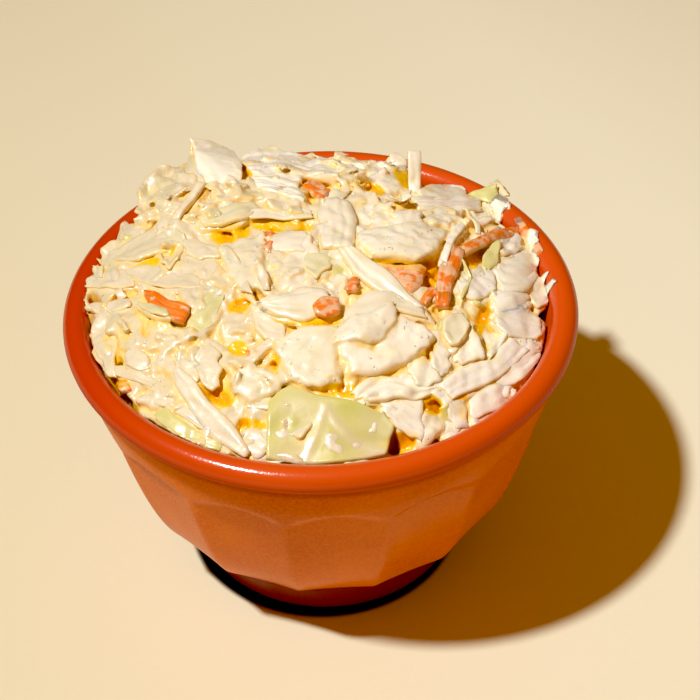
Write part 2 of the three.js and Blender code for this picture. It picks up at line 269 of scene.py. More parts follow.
def bodyRadius(height):
    low, radius = bowl["bellyHeight"], bowl["bellyRadius"]
    climb = (np.asarray(height, float) - low) / (bowl["neckHeight"] - low)
    return radius + (bowl["neckRadius"] - radius) * np.clip(climb, 0, 1) ** bowl["bellyPower"]


def arcPoints(centre, radius, start, end, count):
    turns = np.radians(np.linspace(start, end, count))
    return [(centre[0] + radius * math.cos(t), centre[1] + radius * math.sin(t)) for t in turns]


def bowlSection():
    # Radius and height, from the middle of the foot up the outside, over the lip and down to the inner floor.
    foot, top, edge = bowl["footRadius"], bowl["footHeight"], bowl["footEdge"]
    belly, neck, floor = bowl["bellyHeight"], bowl["neckHeight"], bowl["floorHeight"]
    points = [(0.01, 0.0), (foot - edge, 0.0)]
    points += arcPoints((foot - edge, edge), edge, -80, 0, 6)
    points += [(foot + out, top + up) for out, up in bowl["waist"]]
    points += [(foot + bowl["underBelly"][0], belly + bowl["underBelly"][1])]
    heights = belly + (neck - belly) * np.linspace(0, 1, 42) ** 1.8
    points += [(float(bodyRadius(h)), float(h)) for h in heights]
    points += [(bowl["neckRadius"] + bowl["underLip"][0], neck + bowl["underLip"][1])]
    points += arcPoints((rimRadius - bowl["lipRoll"], bowl["lipHeight"]), bowl["lipRoll"], *bowl["lipArc"])
    points += [(float(bodyRadius(h)) - bowl["wallThick"], h) for h in bowl["innerHeights"]]
    points += [(out, floor + up) for out, up in bowl["innerFloor"]]
    return points


def sectionCurve(points):
    data = bpy.data.curves.new("bowl section", "CURVE")
    data.dimensions = "3D"
    spline = data.splines.new("POLY")
    spline.points.add(len(points) - 1)
    for point, (radius, height) in zip(spline.points, points):
        point.co = (radius * mm, 0, height * mm, 1)
    return addObject("bowl section", data)


def bowlTree(values):
    # Turns the section round, and makes flat panels between the belly and their arches.
    tree, give, given = newTree("turned panelled bowl", values)
    do = partial(calc, tree)
    grid = wire(tree, "GeometryNodeMeshGrid", Size_X=1.0, Size_Y=1.0,
                Vertices_X=give["Columns"], Vertices_Y=give["Rows"])
    place = axes(tree, wire(tree, "GeometryNodeInputPosition").outputs[0])
    around, along = do("ADD", place[0], 0.5), do("ADD", place[1], 0.5)
    sample = wire(tree, "GeometryNodeSampleCurve", dict(mode="FACTOR", use_all_curves=True),
                  Curves=give["Geometry"], Factor=along)
    radius, _, height = axes(tree, sample.outputs["Position"])
    across = do("SUBTRACT", do("MULTIPLY", do("FRACT", do("MULTIPLY", around, give["Panels"])), 2.0), 1.0)
    crown = do("SUBTRACT", 1.0, do("MULTIPLY", across, across))
    arch = do("MULTIPLY_ADD", crown, give["Arch Rise"], give["Cusp Height"])
    edge = do("MULTIPLY_ADD", crown, give["Belly Scallop"], give["Belly Height"])
    halfPitch = do("DIVIDE", math.pi, give["Panels"])
    chord = do("DIVIDE", do("COSINE", halfPitch), do("COSINE", do("MULTIPLY", across, halfPitch)))
    depth = do("MULTIPLY", do("SUBTRACT", 1.0, chord), radius)
    fall = do("EXPONENT", do("MULTIPLY", do("DIVIDE", depth, give["Ridge Soft"]), -1.0))
    depth = do("MULTIPLY", do("MULTIPLY", depth, give["Flute"]), do("SUBTRACT", 1.0, fall))
    under = ranged(tree, height, do("SUBTRACT", arch, give["Ledge"]), arch, 1.0, 0.0)
    over = ranged(tree, height, do("SUBTRACT", edge, 4.0 * mm), edge)
    outside = do("LESS_THAN", along, give["Outside Share"])
    mask = do("MULTIPLY", do("MULTIPLY", under, over), outside)
    radius = do("SUBTRACT", radius, do("MULTIPLY", depth, mask))
    turn = do("MULTIPLY_ADD", around, fullTurn, give["Panel Turn"])
    spotX = do("MULTIPLY", radius, do("SINE", turn))
    spotY = do("MULTIPLY", do("MULTIPLY", radius, do("COSINE", turn)), -1.0)
    position = wire(tree, "ShaderNodeCombineXYZ", X=spotX, Y=spotY, Z=height).outputs[0]
    shaped = wire(tree, "GeometryNodeSetPosition", Geometry=grid.outputs[0], Position=position)
    closed = wire(tree, "GeometryNodeMergeByDistance", Geometry=shaped.outputs[0], Distance=0.02 * mm)
    endTree(tree, closed.outputs[0], give["Finish"])
    return tree, given


# The glaze: bands of another tint, each from one height to another, in millimetres; then how it shines.
glaze = dict(
    clay=[(0.3, linear(212, 92, 2)), (0.7, linear(230, 110, 3))],
    clouds=55,
    speck=linear(246, 146, 6),
    grains=1500,
    bands=[
        (12.0, 8.0, 0.85, linear(128, 24, 1)),  # foot: painted shade, darker towards its bottom
        (60.0, 62.6, 0.6, linear(158, 42, 2)),  # under the lip: painted shade, a darker band below the lip
        (63.4, 65.6, 0.95, linear(210, 83, 38)),  # lip
    ],
    lipLeft=(-12.0, -50.0, 0.75, linear(176, 42, 8)),  # painted shade: the lip is painted darker and redder towards the left
    rough=0.45,
    specular=0.02,
    coat=0.35,
    coats=[(54.0, 59.0, -0.3), (66.2, 68.6, 0.95), (28.0, 14.0, 0.1)],  # heights, how much more
    coatRough=0.19,
    wavy=(0.25, 0.25),  # strength and depth of the relief
    grainy=(0.45, 0.1),
)


def glazedClay():
    material, tree, shader, place = newMaterial("glazedClay")
    body = ramp(tree, noise(tree, place, glaze["clouds"], 3), *glaze["clay"])
    grains = noise(tree, place, glaze["grains"], 2, 0.6)
    colour = mix(tree, ramp(tree, grains, (0.35, 0), (0.75, 0.5)), body, glaze["speck"])
    across, _, height = axes(tree, place)
    for low, high, share, tint in glaze["bands"]:
        band = ranged(tree, height, low * mm, high * mm)
        colour = mix(tree, calc(tree, "MULTIPLY", band, share), colour, tint)
    # Painted shade: the lip is painted darker and redder towards the left.
    right, left, share, tint = glaze["lipLeft"]
    redder = ranged(tree, across, right * mm, left * mm, 0.0, share, "LINEAR")
    colour = mix(tree, calc(tree, "MULTIPLY", redder, band), colour, tint)
    coat = glaze["coat"]
    for low, high, more in glaze["coats"]:
        coat = calc(tree, "ADD", ranged(tree, height, low * mm, high * mm, 0.0, more, "LINEAR"), coat)
    relief = bump(tree, noise(tree, place, 190, 3), *glaze["wavy"])
    relief = bump(tree, grains, *glaze["grainy"], Normal=relief)
    feed(tree, shader, Base_Color=colour, Roughness=glaze["rough"], Specular_IOR_Level=glaze["specular"],
         Coat_Weight=coat, Coat_Roughness=glaze["coatRough"], Normal=relief, Coat_Normal=relief)
    return material


def makeBowl():
    section = bowlSection()
    lengths = [math.dist(a, b) for a, b in zip(section, section[1:])]
    lipTop = max(range(len(section)), key=lambda i: section[i][1])
    inMetres = {"Cusp Height": "cuspHeight", "Arch Rise": "archRise", "Ledge": "ledge",
                "Belly Height": "bellyHeight", "Belly Scallop": "bellyScallop", "Ridge Soft": "ridgeSoft"}
    values = {
        "Columns": bowl["columns"] + 1, "Rows": bowl["rows"], "Panels": bowl["panels"],
        "Panel Turn": math.radians(bowl["panelTurn"]), "Flute": bowl["flute"],
        "Outside Share": sum(lengths[:lipTop]) / sum(lengths), "Finish": glazedClay(),
        **{label: bowl[key] * mm for label, key in inMetres.items()},
    }
    return plainMeshFrom(sectionCurve(section), *bowlTree(values), "terracottaBowl")


bowlPiece = makeBowl()
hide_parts("bowl")
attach(bowlPiece, "root")
print("stage: bowl,", len(bowlPiece.data.polygons), "faces")

# The heap: its smooth outline, and the body of dressing and melted pieces, in millimetres.
heap = dict(
    radius=51.0,
    edgeHeight=67.5,
    edgeTilt=3.4,
    domeRise=12.0,
    domePower=2.3,
    shoulder=(-31.0, 32.0, 4.0, 13.0),  # place, rise and spread of the extra height at the back left
    coreDrop=2.6,  # the dressed core lies this far under the heap's outline
    edgeDrop=1.5,  # and this much further at the wall
    coreSegments=120,
    coreRings=40,
    hollowDepth=0.6,  # how much deeper the core is in the hollows
    gridHalf=60.0,
    gridStep=0.75,
    voxel=0.4,  # size of the cells that melt the lower pieces together in dressing
    keepShare=0.5,  # share of their faces that is kept
    soften=1,
    relief=1.1,
    reliefScale=380.0,
    paintedLight=0.0135,  # painted light: how much paler the pieces are painted per millimetre to the right
    tone=(0.3, 0.6),  # the least tone, and how much of its own tone a piece adds to it
    meltedClear=0.6,  # how far the melted pieces keep off the wall
    coreMargin=1.9,
    lumps=dict(seed=5, count=14, first=0.35, step=0.08, height=0.2),  # the waves of the dressed core
    seed=7,
)


def heapTop(x, y):
    x, y = np.asarray(x, float), np.asarray(y, float)
    share = np.minimum(1, np.hypot(x, y) / heap["radius"])
    lean = heap["edgeTilt"] * (0.8 * y - 0.6 * x) / heap["radius"]
    atX, atY, rise, spread = heap["shoulder"]
    bulge = rise * np.exp(-((x - atX) ** 2 + (y - atY) ** 2) / (2 * spread ** 2))
    return heap["edgeHeight"] + lean + bulge + heap["domeRise"] * (1 - share ** heap["domePower"])


def edgeDrop(r):
    return heap["edgeDrop"] * np.clip(r / heap["radius"], 0, 1) ** 8


def wallRadius(z):
    # The inside of the bowl at a height.
    plain = bodyRadius(z) - bowl["wallThick"]
    lip = rimRadius - 2 * bowl["lipRoll"]
    over = np.asarray(z) - bowl["wallTop"]
    return np.where(over > 0, plain + (lip - plain) * np.clip(over / bowl["wallLean"], 0, 1), plain)


def lipTopAt(r, clear=0.3):
    rolled = bowl["lipRoll"] + clear
    inside = np.maximum(rolled ** 2 - (np.asarray(r) - rimRadius + bowl["lipRoll"]) ** 2, 0)
    return bowl["lipHeight"] + np.sqrt(inside)


def clearOfBowl(points, clear=0.4):
    # Draws points in from the wall, and lifts those that lie over the lip.
    r = np.hypot(points[:, 0], points[:, 1])
    low = points[:, 2] < bowl["lipHeight"]
    limit = wallRadius(points[:, 2]) - clear
    points[:, :2] *= np.where(low & (r > limit), limit / np.maximum(r, 1e-6), 1)[:, None]
    over = ~low & (r > rimRadius - 2 * bowl["lipRoll"] - clear)
    points[:, 2] = np.where(over, np.maximum(points[:, 2], lipTopAt(r, clear)), points[:, 2])
    return points


def project(points):
    # Where points fall in the frame: across and down.
    offset = points - eye
    scale = view["focalPixels"] / (offset @ eyeForward)
    half = view["frameSize"] / 2
    return np.stack([half + scale * (offset @ eyeRight), half - scale * (offset @ eyeUp)], -1)


def onHeap(across, down, lift, start=75, rounds=26):
    # The point of the heap's outline, raised by lift, that is seen at a place of the frame.
    half, focal = view["frameSize"] / 2, view["focalPixels"]
    right, up = ((across - half) / focal)[..., None], ((half - down) / focal)[..., None]
    ray = eyeForward + right * eyeRight + up * eyeUp
    reach = (start - eye[2]) / ray[..., 2]
    for _ in range(rounds):
        point = eye + reach[..., None] * ray
        reach = reach - (point[..., 2] - heapTop(point[..., 0], point[..., 1]) - lift) / ray[..., 2]
    return eye + reach[..., None] * ray


# The pile that grows as pieces are laid on it, as heights on a grid.
gridHalf = heap["gridHalf"]
gridCount = int(2 * gridHalf / heap["gridStep"]) + 1
gridLine = np.linspace(-gridHalf, gridHalf, gridCount)
gridX, gridY = np.meshgrid(gridLine, gridLine, indexing="ij")
gridRadius = np.hypot(gridX, gridY)
pile = heapTop(gridX, gridY) - heap["coreDrop"] - edgeDrop(gridRadius)
pile = np.where(gridRadius > rimRadius - 2 * bowl["lipRoll"] - 0.2, lipTopAt(gridRadius), pile)
# 1 where a melted placed piece lies, 2 where a crisp one does, 3 under the front leaf.
taken = np.zeros_like(pile)


def gridPlace(values):
    return np.clip((values + gridHalf) / heap["gridStep"], 0, gridCount - 1.001)


def gridAt(field, x, y):
    a, b = gridPlace(x), gridPlace(y)
    i, j = a.astype(int), b.astype(int)
    s, t = a - i, b - j
    low = field[i, j] * (1 - s) + field[i + 1, j] * s
    high = field[i, j + 1] * (1 - s) + field[i + 1, j + 1] * s
    return low * (1 - t) + high * t


def gridCells(points):
    return gridPlace(points[:, 0]).astype(int), gridPlace(points[:, 1]).astype(int)


def raiseGrid(field, i, j, heights):
    for stepI in (0, 1):
        for stepJ in (0, 1):
            np.maximum.at(field, (i + stepI, j + stepJ), heights)


# Sheets of cut leaf, stem and root: the size of each in millimetres, how it bends, how rough its edge and its
# ribs are, and in how many steps it is made.
cuts = dict(
    chip=dict(length=(8, 17), width=(6, 11), thick=(1.1, 1.9), bend=0.26, cup=0.26, ripple=0.35, ragged=0.11,
              rib=0.05, inner=(15, 11)),
    stem=dict(length=(9, 17), width=(4, 7), thick=(1.6, 2.6), bend=0.2, cup=0.30, ripple=0.25, ragged=0.08,
              rib=0.12, inner=(15, 10)),
    shred=dict(length=(9, 20), width=(2.0, 3.8), thick=(1.1, 1.8), bend=0.32, cup=0.15, ripple=0.4,
               ragged=0.07, rib=0.05, inner=(18, 5)),
    strand=dict(length=(4, 11), width=(0.9, 2.4), thick=(0.4, 0.7), bend=0.25, cup=0.1, ripple=0.3,
                ragged=0.10, rib=0.03, inner=(12, 3)),
    leaf=dict(length=(7, 14), width=(4, 8), thick=(0.7, 1.0), bend=0.3, cup=0.3, ripple=0.4, ragged=0.14,
              rib=0.03, inner=(14, 10)),
    carrot=dict(length=(6, 12), width=(2.0, 3.4), thick=(1.5, 2.2), bend=0.2, cup=0.05, ripple=0.25,
                ragged=0.06, rib=0.10, inner=(14, 5)),
)
# How green each is, from and to, and whether it is carrot.
tones = dict(chip=(0, 0.15, 0), stem=(0, 0.1, 0), shred=(0, 0.12, 0), strand=(0, 0.15, 0), leaf=(0.9, 1, 0),
             carrot=(0, 0, 1))
topologies = {}
phaseReach, nearTurn = 6.3, 6.283  # about a full turn: how far random phases go, and for waves
meltedPieces, crispPieces = [], {cut: [] for cut in cuts}


def edgedLine(inner, bevel):
    middle = np.linspace(-1 + bevel * 1.15, 1 - bevel * 1.15, inner + 1)
    return np.concatenate([[-1, -1 + bevel * 0.35], middle, [1 - bevel * 0.35, 1]])


def sheetFaces(rows, columns):
    key = (rows, columns)
    if key not in topologies:
        under = rows * columns
        at = np.arange(under).reshape(rows, columns)
        top = np.stack([at[:-1, :-1], at[1:, :-1], at[1:, 1:], at[:-1, 1:]], -1).reshape(-1, 4)
        border = np.concatenate([at[:-1, 0], at[-1, :-1], at[:0:-1, -1], at[0, :0:-1]])
        after = np.roll(border, -1)
        rim = np.stack([border, border + under, after + under, after], -1)
        topologies[key] = np.concatenate([top, top[:, ::-1] + under, rim])
    return topologies[key]


def waves(rng, values, count=3, low=1.5, high=6.0):
    total = np.zeros_like(values)
    for _ in range(count):
        total += np.sin(rng.uniform(low, high) * values + rng.uniform(0, phaseReach)) / count
    return total


def gridNormals(points):
    normal = np.cross(np.gradient(points, axis=0), np.gradient(points, axis=1))
    return normal / np.maximum(np.linalg.norm(normal, axis=-1, keepdims=True), 1e-9)


def crumple(points, rng, amount, least=2.2, most=7.0, count=7):
    # Soft dents and swellings of a few millimetres, the same on both faces.
    total = np.zeros(points.shape[:-1])
    for _ in range(count):
        heading = rng.normal(size=3)
        heading /= np.linalg.norm(heading)
        total += np.sin(points @ heading * nearTurn / rng.uniform(least, most) + rng.uniform(0, phaseReach))
    return total * amount / math.sqrt(count)


# What every sheet has unless it is given otherwise.
sheetDefaults = dict(
    bevel=0.6,  # how wide the rounded edge is for its thickness
    bevelMost=(0.3, 0.4),
    endWave=1.6,  # how much of the raggedness goes to the ends, and to the sides
    sideWave=1.4,
    point=0.03,  # how much the ends are rounded off
    skew=0,
    taper=0,
    twist=0,
    vein=0,
    veinWidth=0.16,
    ribSpacing=1.9,
    level=0.33,  # what keeps the middle of a bent sheet in place
    edgeThick=0.5,  # share of the thickness at the edge
    crumple=0.15,
    grain=0.05,
    lumps=0.1,
)


def sheetShape(place, size, rng, facing=(0, 0, 1)):
    # A sheet with two faces and rounded edges, whose middle is place(u, v) for u and v from -1 to 1.
    size = dict(sheetDefaults, **size)
    length, width, thick = size["length"], size["width"], size["thick"]
    ragged, point = size["ragged"], size["point"]
    bevelU, bevelV = (min(most, thick * size["bevel"] / side * 2)
                      for most, side in zip(size["bevelMost"], (length, width)))
    lines = [edgedLine(count, bevel) for count, bevel in zip(size["inner"], (bevelU, bevelV))]
    u, v = np.meshgrid(*lines, indexing="ij")
    endWave = waves(rng, v, 3, 2, 9) * ragged * width / length * size["endWave"]
    sideWave = waves(rng, u, 3, 2, 8) * ragged * size["sideWave"]
    shiftedU = u * (1 + endWave - point * 0.6 * v * v * width / length) + size["skew"] * v * width / length
    narrowed = v * (1 + sideWave) * (1 - point * np.abs(u) ** 4) * (1 - size["taper"] * np.abs(u) ** 2.5)
    middle = place(shiftedU, narrowed)
    side = 1 if (gridNormals(middle) @ np.array(facing)).mean() > 0 else -1
    level = size["level"]
    rise = size["bend"] * (u * u - level) * length / 2 + size["cup"] * (v * v - level) * width / 2
    rise = rise + size["twist"] * u * v * width / 2
    rippled = waves(rng, u * length / 8, 2, 1.5, 4) + waves(rng, v * width / 6 + u, 2, 1.5, 4)
    rise = rise + size["ripple"] * rippled + crumple(middle, rng, size["crumple"])
    grain = crumple(middle, rng, size["grain"], 0.9, 2.2, 9)
    middle = middle + gridNormals(middle) * side * rise[..., None]
    normal = gridNormals(middle) * side
    fade = np.minimum((1 - np.abs(u)) / bevelU, (1 - np.abs(v)) / bevelV)
    fade = np.sqrt(1 - (1 - np.clip(fade, 0, 1)) ** 2)
    half = thick / 2 * (size["edgeThick"] + (1 - size["edgeThick"]) * fade)
    lumps = size["lumps"] * waves(rng, u * length / 3, 2, 1, 3) * waves(rng, v * width / 3, 2, 1, 3)
    ribs = size["rib"] * np.sin(v * width / 2 * nearTurn / size["ribSpacing"] + waves(rng, u, 2) * 1.2)
    vein = size["vein"] * np.exp(-((v - 0.25 * waves(rng, u, 1, 1, 2)) / size["veinWidth"]) ** 2)
    top = middle + normal * (half + (ribs + vein + lumps + grain) * fade)[..., None]
    bottom = middle - normal * half[..., None]
    points = np.concatenate([top.reshape(-1, 3), bottom.reshape(-1, 3)])
    uv = np.stack([u * length / 2, v * width / 2], -1).reshape(-1, 2)
    # The edge share, which the finish paints with the golden shade colour.
    edge = ((1 - fade) ** 1.5).ravel()
    return points, sheetFaces(*u.shape)[:, ::side], np.concatenate([uv, uv]), np.concatenate([edge, edge])


def heapFrame(x, y, turn):
    step = 0.5
    slopeX = float(heapTop(x + step, y) - heapTop(x - step, y)) / (2 * step)
    slopeY = float(heapTop(x, y + step) - heapTop(x, y - step)) / (2 * step)
    up = Vector((-slopeX, -slopeY, 1)).normalized()
    heading = Vector((math.cos(math.radians(turn)), math.sin(math.radians(turn)), 0))
    side = up.cross(heading).normalized()
    return Matrix((side.cross(up), side, up)).transposed()


# How sheets of one kind differ: most twist and skew, how many are pointed or have a vein, and how much.
varied = dict(twist=0.3, skew=0.4, pointed=0.4, taper=(0.12, 0.45), veined=0.3, vein=(0.2, 0.45))


def drawSize(cut, rng, given):
    size = dict(cuts[cut])
    for key in ("length", "width", "thick"):
        size[key] = rng.uniform(*size[key])
    for key in ("bend", "cup"):
        size[key] *= rng.uniform(-1, 1)
    for key in ("twist", "skew"):
        size[key] = rng.uniform(-varied[key], varied[key])
    size["taper"] = rng.uniform(0, varied["taper"][rng.random() < varied["pointed"]])
    veined = cut in ("leaf", "chip") and rng.random() < varied["veined"]
    size["vein"] = rng.uniform(*varied["vein"]) if veined else 0
    size.update(given)
    return size


def tintOf(cut, rng, tone=None, green=None):
    least, most, orange = tones[cut]
    tone = rng.random() if tone is None else tone
    green = least + (most - least) * rng.random() if green is None else green
    return (tone, green, orange)


def keepSheet(melted, cut, sheet, tint, mark=0):
    points, faces, uv, edge = sheet
    if cut != "carrot":
        least, share = heap["tone"]
        # Painted light: pieces further to the right are painted paler.
        tone = least + share * tint[0] - points[:, 0].mean() * heap["paintedLight"]
        tint = (min(1, max(0, tone)),) + tuple(tint[1:])
    tints = np.c_[np.tile(tint, (len(points), 1)), edge]
    (meltedPieces if melted else crispPieces[cut]).append((points, faces, uv, tints))
    cells = gridCells(points)
    raiseGrid(pile, *cells, points[:, 2])
    if mark:
        taken[cells] = mark


def flatSheet(cut, rng, x, y, height, turn, tilt, roll, given):
    size = drawSize(cut, rng, given)
    lie = heapFrame(x, y, turn)
    for angle, axis in ((-tilt, "Y"), (roll, "X")):
        lie = lie @ Matrix.Rotation(math.radians(angle), 3, axis)
    lie = np.array(lie)

    def place(u, v):
        flat = np.stack([u * size["length"] / 2, v * size["width"] / 2, np.zeros_like(u)], -1)
        return flat @ lie.T + np.array([x, y, height])

    return sheetShape(place, size, rng)


# Hollows that stay open between the pieces: middle and half size in pixels of the frame, and the turn.
hollows = [
    (245, 174, 6, 5, 0), (314, 188, 12, 9, 20), (283, 226, 28, 6, 3), (230, 234, 17, 9, -8),
    (148, 264, 12, 4, -20), (176, 252, 5, 8, 10), (195, 251, 4, 3, 0), (378, 190, 7, 4, 30),
    (400, 264, 32, 4, 6), (430, 278, 6, 16, 15), (473, 260, 6, 8, 20), (237, 307, 11, 6, -20),
    (305, 321, 28, 4, 3), (238, 349, 9, 7, 0), (276, 360, 4, 7, 0), (216, 395, 16, 7, 30),
    (252, 424, 12, 5, 10), (346, 391, 28, 6, 8), (427, 355, 5, 12, 35), (481, 322, 5, 17, 20),
    (462, 396, 5, 3, 0), (432, 405, 10, 8, 30), (400, 441, 18, 7, -20), (123, 385, 6, 5, 0),
    (463, 414, 4, 6, 0),
]
# Gaps at the wall, given in the same way, and how the melted body sinks there: how deep, above what height,
# and over how much height that sets in.
gaps = [
    (429, 178, 6, 9, 0), (514, 221, 7, 12, -35), (541, 266, 4, 8, -10), (550, 333, 4, 12, 8),
    (520, 390, 6, 5, -30), (400, 443, 12, 6, -20), (95, 300, 4, 6, 0), (93, 326, 3, 8, -8),
    (112, 378, 4, 9, -30),
]
gapSink = dict(depth=9.0, above=58.5, fade=6)


def hollowShare(points, grow=1.0, soft=0.35, places=hollows):
    # 1 in the middle of a hollow as it is seen in the frame, 0 outside.
    seen = project(points)
    share = np.zeros(len(points))
    for atX, atY, halfX, halfY, turn in places:
        c, s = math.cos(math.radians(turn)), math.sin(math.radians(turn))
        dx, dy = seen[:, 0] - atX, seen[:, 1] - atY
        out = np.hypot((dx * c + dy * s) / (halfX * grow), (dy * c - dx * s) / (halfY * grow))
        share = np.maximum(share, np.clip((1 + soft - out) / soft, 0, 1))
    return share


# Pieces that the dressing has melted together: how many of each cut, how far out, how deep and how steep.
meltedLayers = [
    dict(cut="chip", count=150, reach=49, lift=(-2.8, -1.7), slope=14),
    dict(cut="carrot", count=9, reach=47, lift=(-2.2, -1.7), slope=10),
    dict(cut="leaf", count=16, reach=48, lift=(-2.0, -1.7), slope=14),
    dict(cut="chip", count=130, reach=49, lift=(-1.6, -0.5), slope=14, scale=0.85),
    dict(cut="stem", count=90, reach=49, lift=(-1.5, -0.4), slope=12, scale=0.8),
    dict(cut="shred", count=130, reach=50, lift=(-1.2, 0.0), slope=12, scale=0.8),
    dict(cut="chip", count=130, reach=49, lift=(-0.9, -0.1), slope=12, scale=0.6),
    dict(cut="leaf", count=14, reach=48, lift=(-0.9, -0.1), slope=14, scale=0.7),
]

# Pieces that fall on top: the first ones melt in, the crisp ones keep off the placed pieces.
looseLayers = [
    dict(cut="strand", count=330, reach=49, slope=10, over=1, onCrisp=0.1, melted=True, sink=0.25),
    dict(cut="shred", count=70, reach=48, slope=10, scale=0.6, over=0.6, onCrisp=0.05, melted=True, sink=0.5),
    dict(cut="chip", count=46, reach=48, slope=16),
    dict(cut="shred", count=40, reach=47, slope=14, scale=0.7),
    dict(cut="stem", count=26, reach=47, slope=14),
    dict(cut="leaf", count=16, reach=47, slope=20),
    dict(cut="carrot", count=4, reach=47, slope=14, scale=0.5),
    dict(cut="strand", count=70, reach=48, slope=12, over=0.6, onCrisp=0.2),
]
# Those near the wall lie along it and are smaller.
atWall = dict(within=8, turn=35, scale=0.75)
# Shares of a piece that may cover others.
laying = dict(
    deep=-1.7,  # what lies no higher than this may cover the hollows
    meltedOverHollow=0.1,
    overHollow=0.05,
    overPlaced=0.12,
    overLeaf=0.02,
    dropFrom=90,
    sunkShare=45,  # percent of a loose piece that sinks into the pile
)


def spots(layer, rng):
    # Evenly spread places with a turn, a tilt, a roll and a size.
    goldenAngle = math.pi * (3 - math.sqrt(5))
    cut, start = cuts[layer["cut"]], rng.uniform(0, phaseReach)
    for i in range(layer["count"]):
        r = layer["reach"] * math.sqrt((i + rng.uniform(0.1, 0.9)) / layer["count"])
        angle = start + i * goldenAngle + rng.uniform(-0.3, 0.3)
        turn, scale = rng.uniform(0, 360), layer.get("scale", 1)
        if r > heap["radius"] - atWall["within"]:
            turn = math.degrees(angle) + 90 + rng.uniform(-atWall["turn"], atWall["turn"])
            scale *= atWall["scale"]
        given = dict(length=rng.uniform(*cut["length"]) * scale,
                     width=rng.uniform(*cut["width"]) * (0.4 + 0.6 * scale))
        tilt, roll = rng.uniform(-1, 1, 2) * layer["slope"]
        yield r * math.cos(angle), r * math.sin(angle), turn, tilt, roll, given


def inHollows(points, places=hollows):
    # The share of a sheet that would cover them.
    return (hollowShare(points, 1, 0.1, places) > 0.5).mean()


def layMelted(rng):
    for layer in meltedLayers:
        for x, y, *lie in spots(layer, rng):
            height = float(heapTop(x, y)) + rng.uniform(*layer["lift"])
            sheet = flatSheet(layer["cut"], rng, x, y, height, *lie)
            if layer["lift"][1] > laying["deep"] and inHollows(sheet[0]) > laying["meltedOverHollow"]:
                continue
            clearOfBowl(sheet[0], heap["meltedClear"])
            keepSheet(True, layer["cut"], sheet, tintOf(layer["cut"], rng))


def layLoose(rng):
    # Each is made above the heap and lowered on to the pile; one that would cover what is placed is left out.
    for layer in looseLayers:
        for x, y, *lie in spots(layer, rng):
            sheet = flatSheet(layer["cut"], rng, x, y, laying["dropFrom"], *lie)
            points = sheet[0]
            under = points[len(points) // 2:]
            above = under[:, 2] - gridAt(pile, under[:, 0], under[:, 1])
            points[:, 2] -= np.percentile(above, laying["sunkShare"])
            points[:, 2] -= layer.get("sink", 0)
            below = taken[gridCells(points)]
            if (below > 0).mean() > layer.get("over", laying["overPlaced"]):
                continue
            if (below == 2).mean() > layer.get("onCrisp", 1) or (below == 3).mean() > laying["overLeaf"]:
                continue
            if inHollows(points, hollows + gaps) > laying["overHollow"]:
                continue
            clearOfBowl(points)
            keepSheet(layer.get("melted", False), layer["cut"], sheet, tintOf(layer["cut"], rng))


